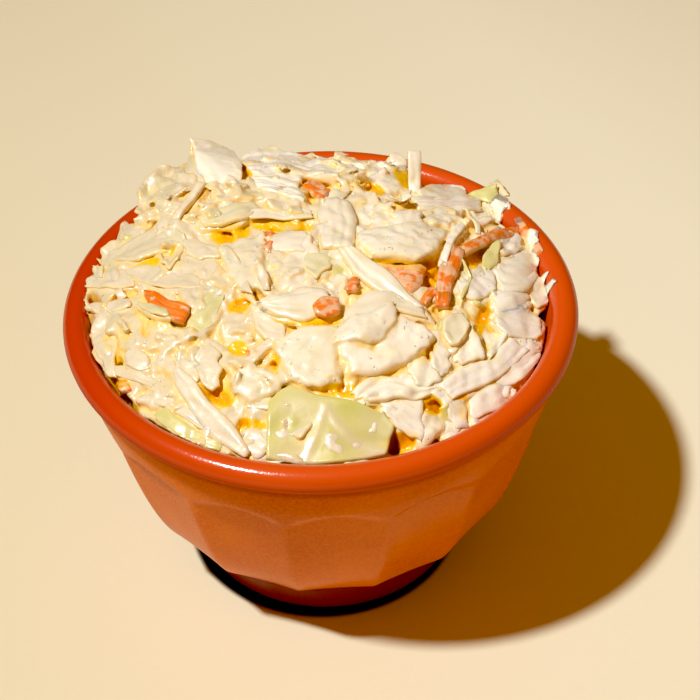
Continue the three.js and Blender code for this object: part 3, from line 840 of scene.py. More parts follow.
# Pieces that are placed one by one. Each lies between two rails, given in pixels of the frame. The lifts are
# its height over the heap's outline at the start and end of the first rail and of the second; two go for
# both rails, and one for all.
placedPieces = [
    # back left
    ("leaf", [(136, 194), (145, 180), (160, 172), (191, 165)],
     [(137, 226), (158, 222), (178, 214), (198, 195)],
     (4.5, 3.5, 0.8, 0.8), dict(melted=True, thick=1.1, ripple=0.7, crumple=0.7, lumps=0.4, grain=0.25,
     green=0.1, tone=0.6)),
    ("chip", [(191, 138), (211, 140), (233, 150), (242, 162)],
     [(200, 181), (212, 187), (226, 187), (241, 184)],
     (10.6, 4.4, 1.4, 0.8), dict(thick=1.0, tone=-0.9, bend=-0.02, cup=-0.12, ragged=0.02, crumple=0.12,
     ripple=0.1, point=0.0)),
    ("chip", [(192, 139), (190, 152), (186, 166), (179, 186)],
     [(195, 140), (199, 158), (203, 172), (206, 190)],
     (9.8, 1.0, 8.6, 0.4), dict(thick=0.8, tone=0.5, bend=0.0, cup=0.0, crumple=0.12, ripple=0.1, point=0.0)),
    ("chip", [(241, 160), (256, 151), (280, 152), (303, 157)],
     [(246, 174), (262, 179), (288, 183), (306, 184)],
     (1.0, 1.2, 1.2, 1.2), dict(melted=True, thick=2.4, tone=-0.6)),
    ("chip", [(262, 150), (272, 146), (284, 152)], [(262, 157), (272, 155), (284, 157)],
     (2.0, 2.0, 1.0, 1.0), dict(thick=0.8, tone=0.6)),
    ("stem", [(250, 178), (275, 181), (300, 184)], [(262, 192), (282, 197), (304, 204)],
     (1.6, 1.4, 1.8, 1.6), dict(rib=0.2, tone=-0.5)),
    ("chip", [(214, 182), (232, 181), (249, 184)], [(214, 204), (234, 202), (256, 200)],
     (1.0, 0.8, 1.4, 1.0), dict(melted=True, tone=0.2, cup=0.2)),
    ("stem", [(198, 219), (215, 210), (236, 205), (255, 203)],
     [(204, 227), (222, 227), (244, 220), (263, 210)],
     (1.6, 1.4, 1.6, 1.0), dict(rib=0.14, green=0.3, tone=0.2)),
    ("shred", [(247, 212), (262, 210), (279, 206), (311, 211)],
     [(250, 219), (266, 219), (287, 219), (313, 218)],
     (1.4, 1.4, 1.2, 1.2), dict(thick=0.8, tone=-0.3)),
    ("carrot", [(302, 190), (314, 196), (322, 204)], [(308, 180), (320, 184), (331, 190)],
     (0.9, 0.9, 0.7, 0.7), dict(coated=0.4, thick=1.6)),
    ("chip", [(298, 166), (330, 161), (350, 158)], [(306, 178), (335, 182), (360, 178)],
     (1.4, 1.4, 1.2, 1.0), dict(melted=True, thick=2.2, tone=-0.4)),
    # left edge, with ends that lie over the lip
    ("shred", [(102, 256), (125, 248), (134, 240), (148, 232), (169, 226)],
     [(104, 260), (122, 262), (141, 263), (161, 254), (176, 246)],
     (1.2, 1.6, 1.2, 1.2), dict(tone=0.3, green=0.1)),
    ("chip", [(125, 223), (134, 226), (146, 230)], [(121, 240), (134, 238), (148, 240)],
     (1.0, 1.0, 0.8, 0.8), dict(tone=0.4)),
    ("shred", [(86, 278), (98, 274), (125, 270), (136, 277)], [(86, 286), (100, 290), (118, 288), (134, 286)],
     (1.4, 1.4, 1.2, 1.0), dict(tone=0.5, thick=1.2)),
    ("shred", [(93, 265), (94, 278)], [(102, 266), (103, 278)],
     (2.6, 1.6), dict(tone=0.5, thick=1.2)),
    ("shred", [(84, 306), (93, 302), (112, 303), (130, 296)], [(86, 310), (98, 315), (114, 314), (134, 310)],
     (1.4, 1.2, 1.2, 0.8), dict(tone=0.2, point=0.5)),
    ("leaf", [(125, 271), (149, 265), (170, 269), (192, 273), (207, 283)],
     [(127, 274), (141, 281), (157, 288), (180, 290), (202, 289)],
     (2.0, 1.6, 1.8, 1.4), dict(green=0.05, tone=0.6, thick=0.9, point=0.4)),
    ("chip", [(160, 235), (172, 233), (184, 238)], [(160, 258), (168, 270), (180, 262)],
     (1.2, 1.2, 1.6, 1.6), dict(tone=0.3, thick=1.1, cup=0.3)),
    ("chip", [(184, 240), (200, 243), (217, 248)], [(188, 256), (201, 259), (219, 258)],
     (1.6, 1.6, 1.4, 1.4), dict(tone=0.2)),
    ("chip", [(220, 247), (243, 240), (266, 235)], [(226, 275), (246, 294), (262, 288)],
     (1.0, 1.4), dict(melted=True, thick=2.4, tone=0.1, lumps=0.1, ripple=0.1)),
    ("chip", [(224, 252), (228, 262), (242, 290)], [(234, 252), (244, 270), (252, 292)],
     (1.8, 1.6, 2.4, 2.2), dict(tone=0.5, thick=1.2)),
    ("shred", [(257, 263), (258, 278), (263, 291)], [(263, 264), (268, 276), (271, 290)],
     (4.0, 2.2), dict(tone=0.8, thick=1.0, point=0.4)),
    ("chip", [(272, 237), (290, 234), (304, 234), (316, 242)],
     [(276, 250), (290, 251), (303, 252), (314, 250)],
     (1.8, 1.6, 1.6, 1.4), dict(tone=0.0, thick=1.6)),
    ("carrot", [(263, 233), (278, 234)], [(262, 252), (271, 254)],
     (1.2, 1.4, 1.0, 1.2), dict(thick=1.6)),
    ("chip", [(280, 254), (300, 252), (324, 252)], [(282, 292), (300, 292), (318, 282)],
     (0.8, 0.8, 1.0, 1.0), dict(melted=True, tone=0.4, thick=2.0)),
    ("chip", [(305, 256), (316, 250), (328, 252)], [(306, 272), (316, 276), (330, 268)],
     (2.0,), dict(green=0.35, tone=0.4, thick=1.2)),
    # top right
    ("shred", [(407, 151), (408, 175), (409, 198)], [(421, 151), (421, 175), (420, 198)],
     (10.5, 0.4), dict(thick=1.4, tone=0.2, point=0.1, bend=0.02, ripple=0.1, ragged=0.02)),
    ("chip", [(390, 155), (397, 154), (406, 160)], [(391, 164), (398, 166), (406, 166)],
     (3.0, 2.4, 1.5, 1.5), dict(thick=1.0, tone=0.5)),
    ("chip", [(362, 164), (378, 162), (407, 163)], [(372, 184), (388, 194), (408, 190)],
     (1.4, 1.6, 1.4, 1.4), dict(melted=True, thick=2.4, tone=0.2)),
    ("chip", [(352, 196), (372, 194), (394, 198)], [(356, 224), (374, 228), (396, 224)],
     (0.6, 0.6, 0.4, 0.4), dict(melted=True, tone=0.0, thick=2.2)),
    ("chip", [(420, 189), (446, 184), (462, 188)], [(424, 200), (446, 202), (465, 199)],
     (2.6, 2.2, 1.4, 1.4), dict(thick=1.3, tone=0.4)),
    ("stem", [(410, 199), (430, 199), (455, 198), (480, 200)],
     [(418, 212), (440, 213), (462, 212), (481, 212)],
     (2.2, 2.0, 1.8, 1.4), dict(rib=0.28, tone=0.3, thick=1.8)),
    ("leaf", [(463, 196), (475, 191), (486, 187), (497, 183)],
     [(472, 201), (482, 201), (490, 204), (498, 200)],
     (2.0, 5.0, 1.6, 2.4), dict(green=1.0, tone=0.2, thick=1.0)),
    ("chip", [(488, 186), (497, 183), (506, 191)], [(488, 212), (497, 216), (507, 214)],
     (3.4, 3.6, 1.0, 1.0), dict(green=0.3, tone=1.0, thick=1.4)),
    ("chip", [(392, 213), (406, 209), (419, 213)], [(396, 228), (408, 229), (420, 226)],
     (2.8, 2.8, 2.6, 2.6), dict(tone=0.3, thick=2.2, cup=-0.5)),
    ("chip", [(419, 214), (440, 212), (464, 211)], [(420, 224), (440, 227), (460, 222)],
     (1.8, 1.6), dict(melted=True, tone=0.3, thick=2.0)),
    ("chip", [(357, 234), (381, 230), (400, 226), (424, 225), (449, 232)],
     [(358, 246), (372, 257), (392, 260), (416, 263), (436, 252)],
     (2.4, 2.6, 2.6, 2.6), dict(melted=True, smooth=True, thick=3.0, tone=0.1, lumps=0.1, ripple=0.15,
     ragged=0.03)),
    ("carrot", [(370, 262), (396, 267), (412, 263), (427, 270)],
     [(384, 278), (398, 287), (409, 294), (420, 292)],
     (0.6, 1.2, 0.6, 1.0), dict(tone=0.1, coated=0.6, thick=2.4)),
    ("carrot", [(461, 246), (480, 238), (500, 230), (518, 229)],
     [(464, 254), (484, 247), (503, 240), (519, 237)],
     (3.0, 2.4), dict(coated=0.45, thick=1.8)),
    ("carrot", [(450, 244), (441, 262), (436, 284), (432, 302)],
     [(465, 250), (462, 264), (453, 284), (450, 303)],
     (3.2, 1.4), dict(coated=0.5, thick=1.8)),
    ("carrot", [(434, 293), (436, 307)], [(451, 293), (449, 307)],
     (2.0, 1.6), dict(thick=1.6, coated=0.1)),
    ("carrot", [(420, 301), (431, 286)], [(426, 306), (439, 291)],
     (1.2, 1.6), dict(thick=1.6, coated=0.3)),
    ("carrot", [(514, 226), (522, 240), (532, 251), (539, 264)],
     [(520, 224), (528, 237), (537, 248), (543, 262)],
     (1.4, 0.8), dict(coated=0.5, thick=1.4)),
    ("shred", [(460, 222), (449, 236), (440, 259)], [(465, 226), (454, 243), (447, 262)],
     (3.4, 3.2), dict(tone=0.2, thick=1.4)),
    ("leaf", [(479, 269), (483, 258), (490, 245), (498, 240)],
     [(491, 272), (497, 264), (500, 252), (502, 243)],
     (1.6, 4.0), dict(green=0.95, tone=0.2, thick=1.1, point=0.4)),
    ("chip", [(497, 242), (506, 234), (514, 231)], [(500, 254), (510, 255), (521, 249)],
     (2.6, 2.6, 2.4, 2.4), dict(tone=0.1, thick=1.8)),
    ("chip", [(500, 257), (514, 252), (527, 251), (537, 262)],
     [(496, 274), (503, 290), (525, 291), (534, 278)],
     (1.8,), dict(tone=0.2, thick=1.8, green=0.1)),
    ("chip", [(526, 281), (541, 279), (556, 286)], [(530, 300), (538, 308), (551, 302)],
     (1.4, 1.4, 1.0, 1.0), dict(tone=0.2, thick=1.6)),
    ("leaf", [(462, 260), (468, 276), (460, 299)], [(465, 260), (472, 277), (464, 300)],
     (3.0, 2.0), dict(green=1.0, thick=0.9, point=0.5)),
    ("chip", [(455, 276), (469, 269), (491, 271)], [(462, 296), (474, 300), (494, 290)],
     (1.6, 1.6, 1.4, 1.4), dict(tone=0.1, thick=1.6)),
    ("shred", [(528, 237), (538, 240)], [(528, 247), (537, 250)],
     (2.0,), dict(tone=0.8, thick=1.0)),
    # middle
    ("stem", [(318, 200), (320, 225), (322, 250)], [(352, 204), (357, 230), (352, 252)],
     (1.8, 2.0), dict(tone=0.2, thick=2.8, rib=0.1, lumps=0.12)),
    ("stem", [(338, 250), (352, 274), (378, 292), (410, 312)],
     [(352, 246), (380, 266), (404, 288), (424, 309)],
     (2.6, 2.6, 3.0, 3.0), dict(tone=0.2, thick=2.2, rib=0.16)),
    ("stem", [(256, 300), (275, 296), (300, 290), (330, 284)],
     [(258, 309), (280, 318), (305, 321), (334, 319)],
     (2.6, 2.6, 2.8, 2.6), dict(tone=0.1, thick=2.4, point=0.5)),
    ("carrot", [(312, 306), (323, 297), (339, 299)], [(315, 314), (326, 317), (340, 313)],
     (4.2, 4.0), dict(coated=0.35, thick=1.6)),
    ("carrot", [(345, 281), (358, 279)], [(346, 292), (358, 291)],
     (2.6,), dict(coated=0.4)),
    ("chip", [(345, 312), (372, 292), (396, 292), (415, 300)],
     [(352, 322), (378, 312), (400, 312), (422, 316)],
     (3.2, 3.2, 3.4, 3.2), dict(tone=0.4, green=0.12, thick=1.3)),
    ("leaf", [(331, 331), (352, 315), (378, 308), (394, 302)],
     [(334, 343), (360, 343), (384, 338), (398, 320)],
     (3.4, 4.2, 3.6, 4.4), dict(melted=True, tone=0.2, green=0.1, thick=1.8, ripple=0.5)),
    ("chip", [(334, 343), (366, 326), (403, 317), (426, 328), (435, 341)],
     [(344, 366), (350, 377), (376, 376), (404, 366), (424, 354)],
     (2.0, 3.0, 1.8, 2.4), dict(melted=True, smooth=True, thick=3.4, tone=0.1, lumps=0.25, ragged=0.03)),
    ("chip", [(272, 343), (290, 334), (312, 326), (336, 328)],
     [(280, 366), (290, 382), (308, 386), (338, 380)],
     (2.0, 2.4, 1.8, 2.2), dict(melted=True, smooth=True, thick=3.2, tone=0.0, lumps=0.25, ragged=0.04)),
    ("chip", [(300, 358), (322, 360), (342, 370)], [(300, 386), (320, 390), (341, 385)],
     (2.6, 2.4, 2.0, 2.0), dict(melted=True, smooth=True, thick=2.8, tone=0.05, green=0.1)),
    ("chip", [(252, 307), (266, 310), (282, 321)], [(256, 330), (266, 340), (285, 340)],
     (1.4,), dict(tone=0.15, thick=1.8)),
    # left and front left
    ("carrot", [(143, 291), (155, 291), (168, 300), (192, 307)],
     [(148, 304), (158, 313), (170, 320), (184, 324)],
     (3.0, 2.6), dict(tone=0.6, coated=0.05, thick=2.0)),
    ("shred", [(137, 302), (152, 304), (168, 309)], [(139, 307), (152, 314), (170, 317)],
     (4.0, 4.2), dict(green=0.4, tone=0.6, thick=1.2, point=0.4)),
    ("leaf", [(203, 289), (214, 287), (227, 291)], [(185, 328), (200, 334), (214, 322)],
     (1.4,), dict(green=0.65, tone=0.2, thick=0.7, ragged=0.05)),
    ("chip", [(93, 326), (102, 318), (114, 316)], [(94, 354), (104, 368), (116, 376)],
     (1.2, 1.4, 0.8, 0.8), dict(tone=0.3, thick=1.4)),
    ("chip", [(114, 318), (126, 312), (142, 316)], [(118, 350), (132, 352), (146, 346)],
     (1.4,), dict(melted=True, tone=0.2, thick=2.2)),
    ("chip", [(148, 322), (164, 322), (182, 330)], [(150, 350), (164, 354), (178, 352)],
     (1.2,), dict(melted=True, tone=0.3, thick=2.0)),
    ("shred", [(113, 366), (132, 366), (158, 382)], [(116, 376), (136, 382), (152, 388)],
     (1.4, 1.4, 1.2, 1.2), dict(tone=0.6, thick=1.2, green=0.1)),
    ("chip", [(126, 352), (136, 348), (148, 356)], [(128, 366), (138, 370), (148, 368)],
     (2.0, 2.0, 1.8, 1.8), dict(tone=0.0, thick=1.6)),
    ("carrot", [(117, 384), (129, 380)], [(121, 394), (132, 391)],
     (0.8, 0.8, 0.6, 0.6), dict(coated=0.3)),
    ("stem", [(148, 393), (169, 391), (190, 408), (207, 426)],
     [(155, 407), (169, 409), (186, 420), (206, 434)],
     (1.0, 1.8, 1.0, 1.4), dict(tone=0.1, thick=1.4, taper=0.3)),
    ("leaf", [(155, 411), (169, 409), (191, 428), (223, 444)],
     [(155, 418), (170, 432), (198, 447), (220, 451)],
     (2.0, 2.2, 1.6, 1.8), dict(green=0.9, tone=0.3, thick=1.1)),
    ("stem", [(173, 370), (176, 387), (190, 410), (213, 440), (247, 459)],
     [(182, 367), (196, 380), (209, 402), (233, 423), (252, 452)],
     (2.4, 2.0, 2.6, 2.2), dict(tone=0.2, thick=2.2, point=0.3, rib=0.1)),
    ("chip", [(196, 354), (206, 348), (217, 347)], [(199, 378), (207, 387), (219, 385)],
     (2.4, 2.4, 2.0, 2.0), dict(tone=0.3, thick=1.3)),
    ("chip", [(176, 354), (186, 351), (197, 351)], [(176, 370), (184, 386), (198, 380)],
     (1.6, 1.8), dict(tone=0.2, thick=1.6)),
    ("chip", [(228, 380), (240, 372), (256, 370), (280, 376)],
     [(236, 396), (248, 402), (262, 401), (282, 392)],
     (1.6, 1.6, 1.4, 1.4), dict(melted=True, tone=0.0, thick=3.0, lumps=0.2)),
    ("chip", [(240, 432), (253, 428), (269, 436)], [(243, 450), (254, 457), (267, 458)],
     (1.6, 1.6, 1.2, 1.2), dict(tone=0.1, thick=2.0, point=0.5)),
    ("shred", [(246, 402), (258, 398), (272, 398)], [(247, 408), (258, 410), (272, 410)],
     (1.4, 1.6), dict(tone=0.4, thick=1.2)),
    ("carrot", [(246, 353), (262, 351)], [(248, 361), (261, 361)],
     (0.4, 0.4, 0.2, 0.2), dict(coated=0.3)),
    # right and front right
    ("chip", [(355, 393), (376, 376), (408, 377), (437, 383)],
     [(372, 402), (392, 396), (414, 400), (438, 394)],
     (2.0, 1.8, 2.4, 1.8), dict(tone=0.0, thick=2.0, rib=0.3, lumps=0.3, ragged=0.2)),
    ("stem", [(378, 400), (400, 397), (422, 400)], [(384, 416), (398, 428), (425, 444)],
     (2.0, 1.6, 2.2, 1.2), dict(tone=0.0, thick=1.8, rib=0.2, ragged=0.15)),
    ("chip", [(444, 321), (453, 315), (463, 316), (468, 325)],
     [(443, 335), (451, 345), (458, 344), (465, 337)],
     (3.4,), dict(tone=0.4, green=0.3, thick=1.3, ripple=0.05, ragged=0.02)),
    ("leaf", [(437, 324), (444, 320)], [(436, 338), (443, 338)],
     (2.6, 2.6, 2.4, 2.4), dict(green=1.0, tone=0.3)),
    ("carrot", [(451, 347), (467, 341)], [(451, 358), (467, 351)],
     (1.6, 1.6, 1.4, 1.4), dict(coated=0.2, tone=0.8)),
    ("chip", [(434, 338), (441, 340), (449, 345)], [(430, 362), (437, 376), (448, 373)],
     (2.4, 2.4, 2.2, 2.2), dict(tone=0.1, thick=1.6)),
    ("chip", [(408, 366), (416, 360), (425, 359)], [(416, 383), (430, 386), (440, 379)],
     (2.6,), dict(tone=0.3, thick=1.4)),
    ("stem", [(437, 386), (455, 372), (489, 357), (508, 338)],
     [(452, 400), (470, 392), (500, 378), (530, 352)],
     (2.8, 2.4, 2.4, 2.0), dict(tone=0.1, thick=1.4, rib=0.06, cup=0.0, crumple=0.1)),
    ("chip", [(437, 386), (446, 384), (458, 392)], [(449, 416), (456, 427), (468, 424)],
     (2.6, 2.4, 1.4, 1.2), dict(tone=0.3, thick=1.2)),
    ("chip", [(470, 396), (490, 388), (508, 382)], [(474, 418), (492, 412), (515, 396)],
     (1.8, 1.8, 1.0, 1.0), dict(tone=0.35, thick=1.4)),
    ("chip", [(498, 290), (512, 288), (526, 292)], [(496, 312), (510, 314), (526, 310)],
     (2.0,), dict(tone=0.2, thick=1.5)),
    ("chip", [(504, 308), (520, 308), (539, 320)], [(496, 324), (508, 336), (537, 340)],
     (2.2, 1.8, 2.4, 1.8), dict(tone=0.15, thick=1.5)),
    ("chip", [(506, 342), (524, 341), (541, 346)], [(490, 376), (514, 386), (536, 364)],
     (1.8, 1.6, 1.6, 1.4), dict(tone=0.1, thick=1.8)),
    ("chip", [(452, 358), (460, 342), (472, 329)], [(462, 364), (474, 360), (483, 356)],
     (2.2, 2.6), dict(tone=0.15, thick=1.6)),
    ("shred", [(486, 356), (494, 342), (504, 330)], [(490, 360), (499, 350), (508, 336)],
     (2.4, 2.4, 2.2, 2.2), dict(tone=0.2, thick=1.3)),
    ("chip", [(437, 430), (447, 420), (457, 417)], [(444, 438), (454, 434), (464, 427)],
     (1.0, 1.0, 0.6, 0.6), dict(tone=0.2, thick=1.5)),
]

# The large green leaf at the front: rails as above, the branching vein as lines of pixels, and its size.
frontLeaf = dict(
    rails=([(268, 402), (280, 389), (291, 384), (317, 396), (357, 403), (383, 414), (395, 427)],
           [(266, 460), (278, 463), (290, 464), (312, 465), (340, 463), (364, 460), (386, 455)]),
    lifts=(1.8, 2.6, 1.0, 1.2),
    veins=[[(326, 409), (316, 436), (305, 463)], [(326, 409), (338, 426), (352, 441), (386, 455)]],
    drop=(293, 423),  # a bead of dressing
    steps=(64, 36),
    thick=1.2,
    edgeWaves=(0.012, 0.03),
    swell=0.35,
    fold=(0.5, 24),  # how much it rises away from the vein, and over how many pixels
    vein=(0.2, 4.0),
    bead=(0.4, 4.0),
    rounding=(0.03, 0.06),
    edgeThick=0.25,
    underside=(0.6, 0.15),  # share of the relief there, and how much lower it lies
    green=(0.84, 0.2),  # how green, and how much that changes
    paleVein=(0.6, 7),
    uvHalf=(12, 8),
)

# How the placed pieces lie.
placing = dict(
    sink=0.7,  # how far they are pressed into the heap
    farSink=0.5,  # how much further the edge away from the viewer is pressed in
    thinner=0.78,  # share of their given thickness that the crisp ones keep
    overlap=1.12,  # how far the chips reach over their neighbours
)
# The wider sheet below each low one.
underlay = dict(grow=1.22, drop=1.0, thick=1.5, highest=5.0, ragged=0.1, overHollow=0.15, tone=0.4, green=0.3)


def alongRail(rail, share):
    rail = np.array(rail, float)
    lengths = np.concatenate([[0], np.cumsum(np.hypot(*np.diff(rail, axis=0).T))])
    share = np.clip(share, 0, 1) * lengths[-1]
    return np.interp(share, lengths, rail[:, 0]), np.interp(share, lengths, rail[:, 1])


def railPlace(first, second, lifts):
    def place(u, v):
        s, w = (u + 1) / 2, (v + 1) / 2
        nearX, nearY = alongRail(first, s)
        farX, farY = alongRail(second, s)
        lift = (lifts[0] * (1 - s) + lifts[1] * s) * (1 - w) + (lifts[2] * (1 - s) + lifts[3] * s) * w
        lift = lift - placing["sink"] - placing["farSink"] * (1 - w)
        return onHeap(nearX * (1 - w) + farX * w, nearY * (1 - w) + farY * w, lift)
    return place


def grown(place, grow):
    # The same middle surface, carried on beyond its edges.
    def bigger(u, v):
        inside = np.clip(u * grow, -1, 1)
        over = np.abs(u * grow - inside)[..., None] / 0.2
        spot = place(inside, v * grow)
        return spot + over * (spot - place(inside * 0.8, v * grow))
    return bigger


def layPlaced(rng):
    for cut, first, second, lifts, given in placedPieces:
        given, lifts = dict(given), (lifts * 4)[:4]
        melted, tone, green = given.pop("melted", False), given.pop("tone", None), given.pop("green", None)
        coated, mark = given.pop("coated", 0.25), 2 if given.pop("smooth", not melted) else 1
        place = railPlace(first, second, lifts)
        crisp = not melted and cut != "carrot"
        low = max(lifts) < underlay["highest"]
        if cut == "chip" and crisp and low:
            place = grown(place, placing["overlap"])
        corners = place(np.array([[-1.0, 0, 1], [-1, 0, 1]]), np.array([[-1.0, -1, -1], [1, 1, 1]]))
        length = np.linalg.norm(np.diff(corners.mean(0), axis=0), axis=-1).sum()
        width = np.linalg.norm(corners[0] - corners[1], axis=-1).mean()
        size = drawSize(cut, rng, dict(length=length, width=width, skew=0, taper=0, vein=0))
        size["inner"] = (max(8, int(length * 1.5)), max(4, int(width * 1.6)))
        size.update(bend=size["bend"] * 0.35, cup=size["cup"] * 0.5, twist=0, ripple=size["ripple"] * 0.6)
        size.update(given)
        if crisp:
            size["thick"] *= placing["thinner"]
        sheet = sheetShape(place, size, rng, -eyeForward)
        clearOfBowl(sheet[0], *[heap["meltedClear"]] * melted)
        tint = tintOf(cut, rng, tone, green)
        if crisp and low:
            # A wider dressed sheet below it closes the gaps to its neighbours.
            wider = dict(size, thick=underlay["thick"], ragged=underlay["ragged"])
            below = sheetShape(grown(place, underlay["grow"]), wider, rng, -eyeForward)
            below[0][:, 2] -= underlay["drop"]
            if inHollows(below[0]) < underlay["overHollow"]:
                clearOfBowl(below[0], heap["meltedClear"])
                keepSheet(True, cut, below, (underlay["tone"], tint[1] * underlay["green"], 0))
        keepSheet(melted, cut, sheet, (tint[0] if cut != "carrot" else coated, tint[1], tint[2]), mark)


def distanceToLine(spots, line):
    best = np.full(spots.shape[:-1], 1e9)
    for a, b in zip(line, line[1:]):
        a, b = np.array(a, float), np.array(b, float)
        share = np.clip(((spots - a) @ (b - a)) / ((b - a) @ (b - a)), 0, 1)
        best = np.minimum(best, np.linalg.norm(spots - a - share[..., None] * (b - a), axis=-1))
    return best


def bulge(distance, height, width):
    return height * np.exp(-(distance / width) ** 2)


def layFrontLeaf(rng):
    # A smooth leaf with a raised branching vein, folded a little along it.
    leaf = frontLeaf
    place = railPlace(*leaf["rails"], leaf["lifts"])
    u, v = np.meshgrid(*[np.linspace(-1, 1, count) for count in leaf["steps"]], indexing="ij")
    endWave, sideWave = leaf["edgeWaves"]
    wavyU = u * (1 + endWave * waves(rng, v, 2, 3, 9))
    middle = place(wavyU, v * (1 + sideWave * waves(rng, u, 2, 3, 9)))
    seen = project(middle.reshape(-1, 3)).reshape(u.shape + (2,))
    away = np.minimum(*[distanceToLine(seen, line) for line in leaf["veins"]])
    normal = gridNormals(middle)
    side = 1 if (normal @ -eyeForward).mean() > 0 else -1
    normal = normal * side
    swell = leaf["swell"] * waves(rng, u * 2, 2, 1, 3) + leaf["swell"] * waves(rng, v * 2 + u, 2, 1, 3)
    rise = swell + leaf["fold"][0] - bulge(away, *leaf["fold"]) + bulge(away, *leaf["vein"])
    rise = rise + bulge(np.linalg.norm(seen - np.array(leaf["drop"], float), axis=-1), *leaf["bead"])
    fade = np.minimum(*[(1 - np.abs(line)) / width for line, width in zip((u, v), leaf["rounding"])])
    fade = np.sqrt(1 - (1 - np.clip(fade, 0, 1)) ** 2)
    half = leaf["thick"] / 2 * (leaf["edgeThick"] + (1 - leaf["edgeThick"]) * fade)
    share, lower = leaf["underside"]
    top = middle + normal * (rise + half)[..., None]
    bottom = middle + normal * (rise * share - half - lower)[..., None]
    points = clearOfBowl(np.concatenate([top.reshape(-1, 3), bottom.reshape(-1, 3)]))
    green, drift = leaf["green"]
    green = green + drift * waves(rng, u * 2, 2, 1, 3) + drift * waves(rng, v * 3, 2, 1, 3)
    green = np.clip(green, drift, 1) * (1 - bulge(away, *leaf["paleVein"]))
    tint = np.zeros((green.size, 4))
    tint[:, 0], tint[:, 1] = 1.0, green.ravel()
    uv = (np.stack([u, v], -1) * leaf["uvHalf"]).reshape(-1, 2)
    faces = sheetFaces(*u.shape)[:, ::side]
    crispPieces["front"] = [(points, faces, np.concatenate([uv, uv]), np.concatenate([tint, tint]))]
    cells = gridCells(points)
    raiseGrid(pile, *cells, points[:, 2])
    taken[cells] = 3


rng = np.random.default_rng(heap["seed"])
for lay in (layMelted, layPlaced, layFrontLeaf, layLoose):
    lay(rng)
print("stage: laid", len(meltedPieces), "melted and", sum(map(len, crispPieces.values())), "crisp pieces")

# The finish of the slaw.
slawColours = dict(
    bright=(1.0, 0.985, 0.88, 1),
    pale=(0.87, 0.83, 0.70, 1),
    warm=(0.75, 0.67, 0.49, 1),
    paleGreen=(0.67, 0.64, 0.24, 1),
    deepGreen=(0.58, 0.61, 0.09, 1),
    carrotPale=(0.86, 0.26, 0.004, 1),
    carrotDeep=(0.78, 0.14, 0.002, 1),
    carrotCoat=(0.82, 0.55, 0.34, 1),
    # painted shade: the gold put under and between pieces and on their edges
    paintedShade=(0.96, 0.68, 0.20, 1),
    # painted shade in the hollows of the heap, deeper ones towards orange
    hollowShade=(0.90, 0.58, 0.02, 1),
    deepHollowShade=(0.84, 0.36, 0.01, 1),
)
dressing = dict(
    rough=0.38,
    subsurface=0.6,
    subsurfaceRadius=(1.0, 0.75, 0.4),
    subsurfaceScale=0.55,  # mm
    coat=0.6,
    coatRough=0.13,
    clouds=130,  # scales of the noise
    patches=210,
    greenPatches=150,
    flakes=420,
    dents=(240, 0.22, 0.6),  # scale, strength and depth of the relief
    pores=(900, 0.22, 0.2),
    patchShare=(0.55, 0.1),  # by tone, and the least
    greenShare=0.85,
    flakeShare=(0.34, 0.60, 0.68, 0.85),  # how the tone and the noise cover a carrot with dressing
    # how much painted shade the edges of the sheets take, partly the yellower cut edge
    edgeShare=0.6,
    ribs=(0.1, 1.3, 1),  # how the ribs are stretched along a piece
    ribShare=0.12,
    ribDepth=0.5,
)


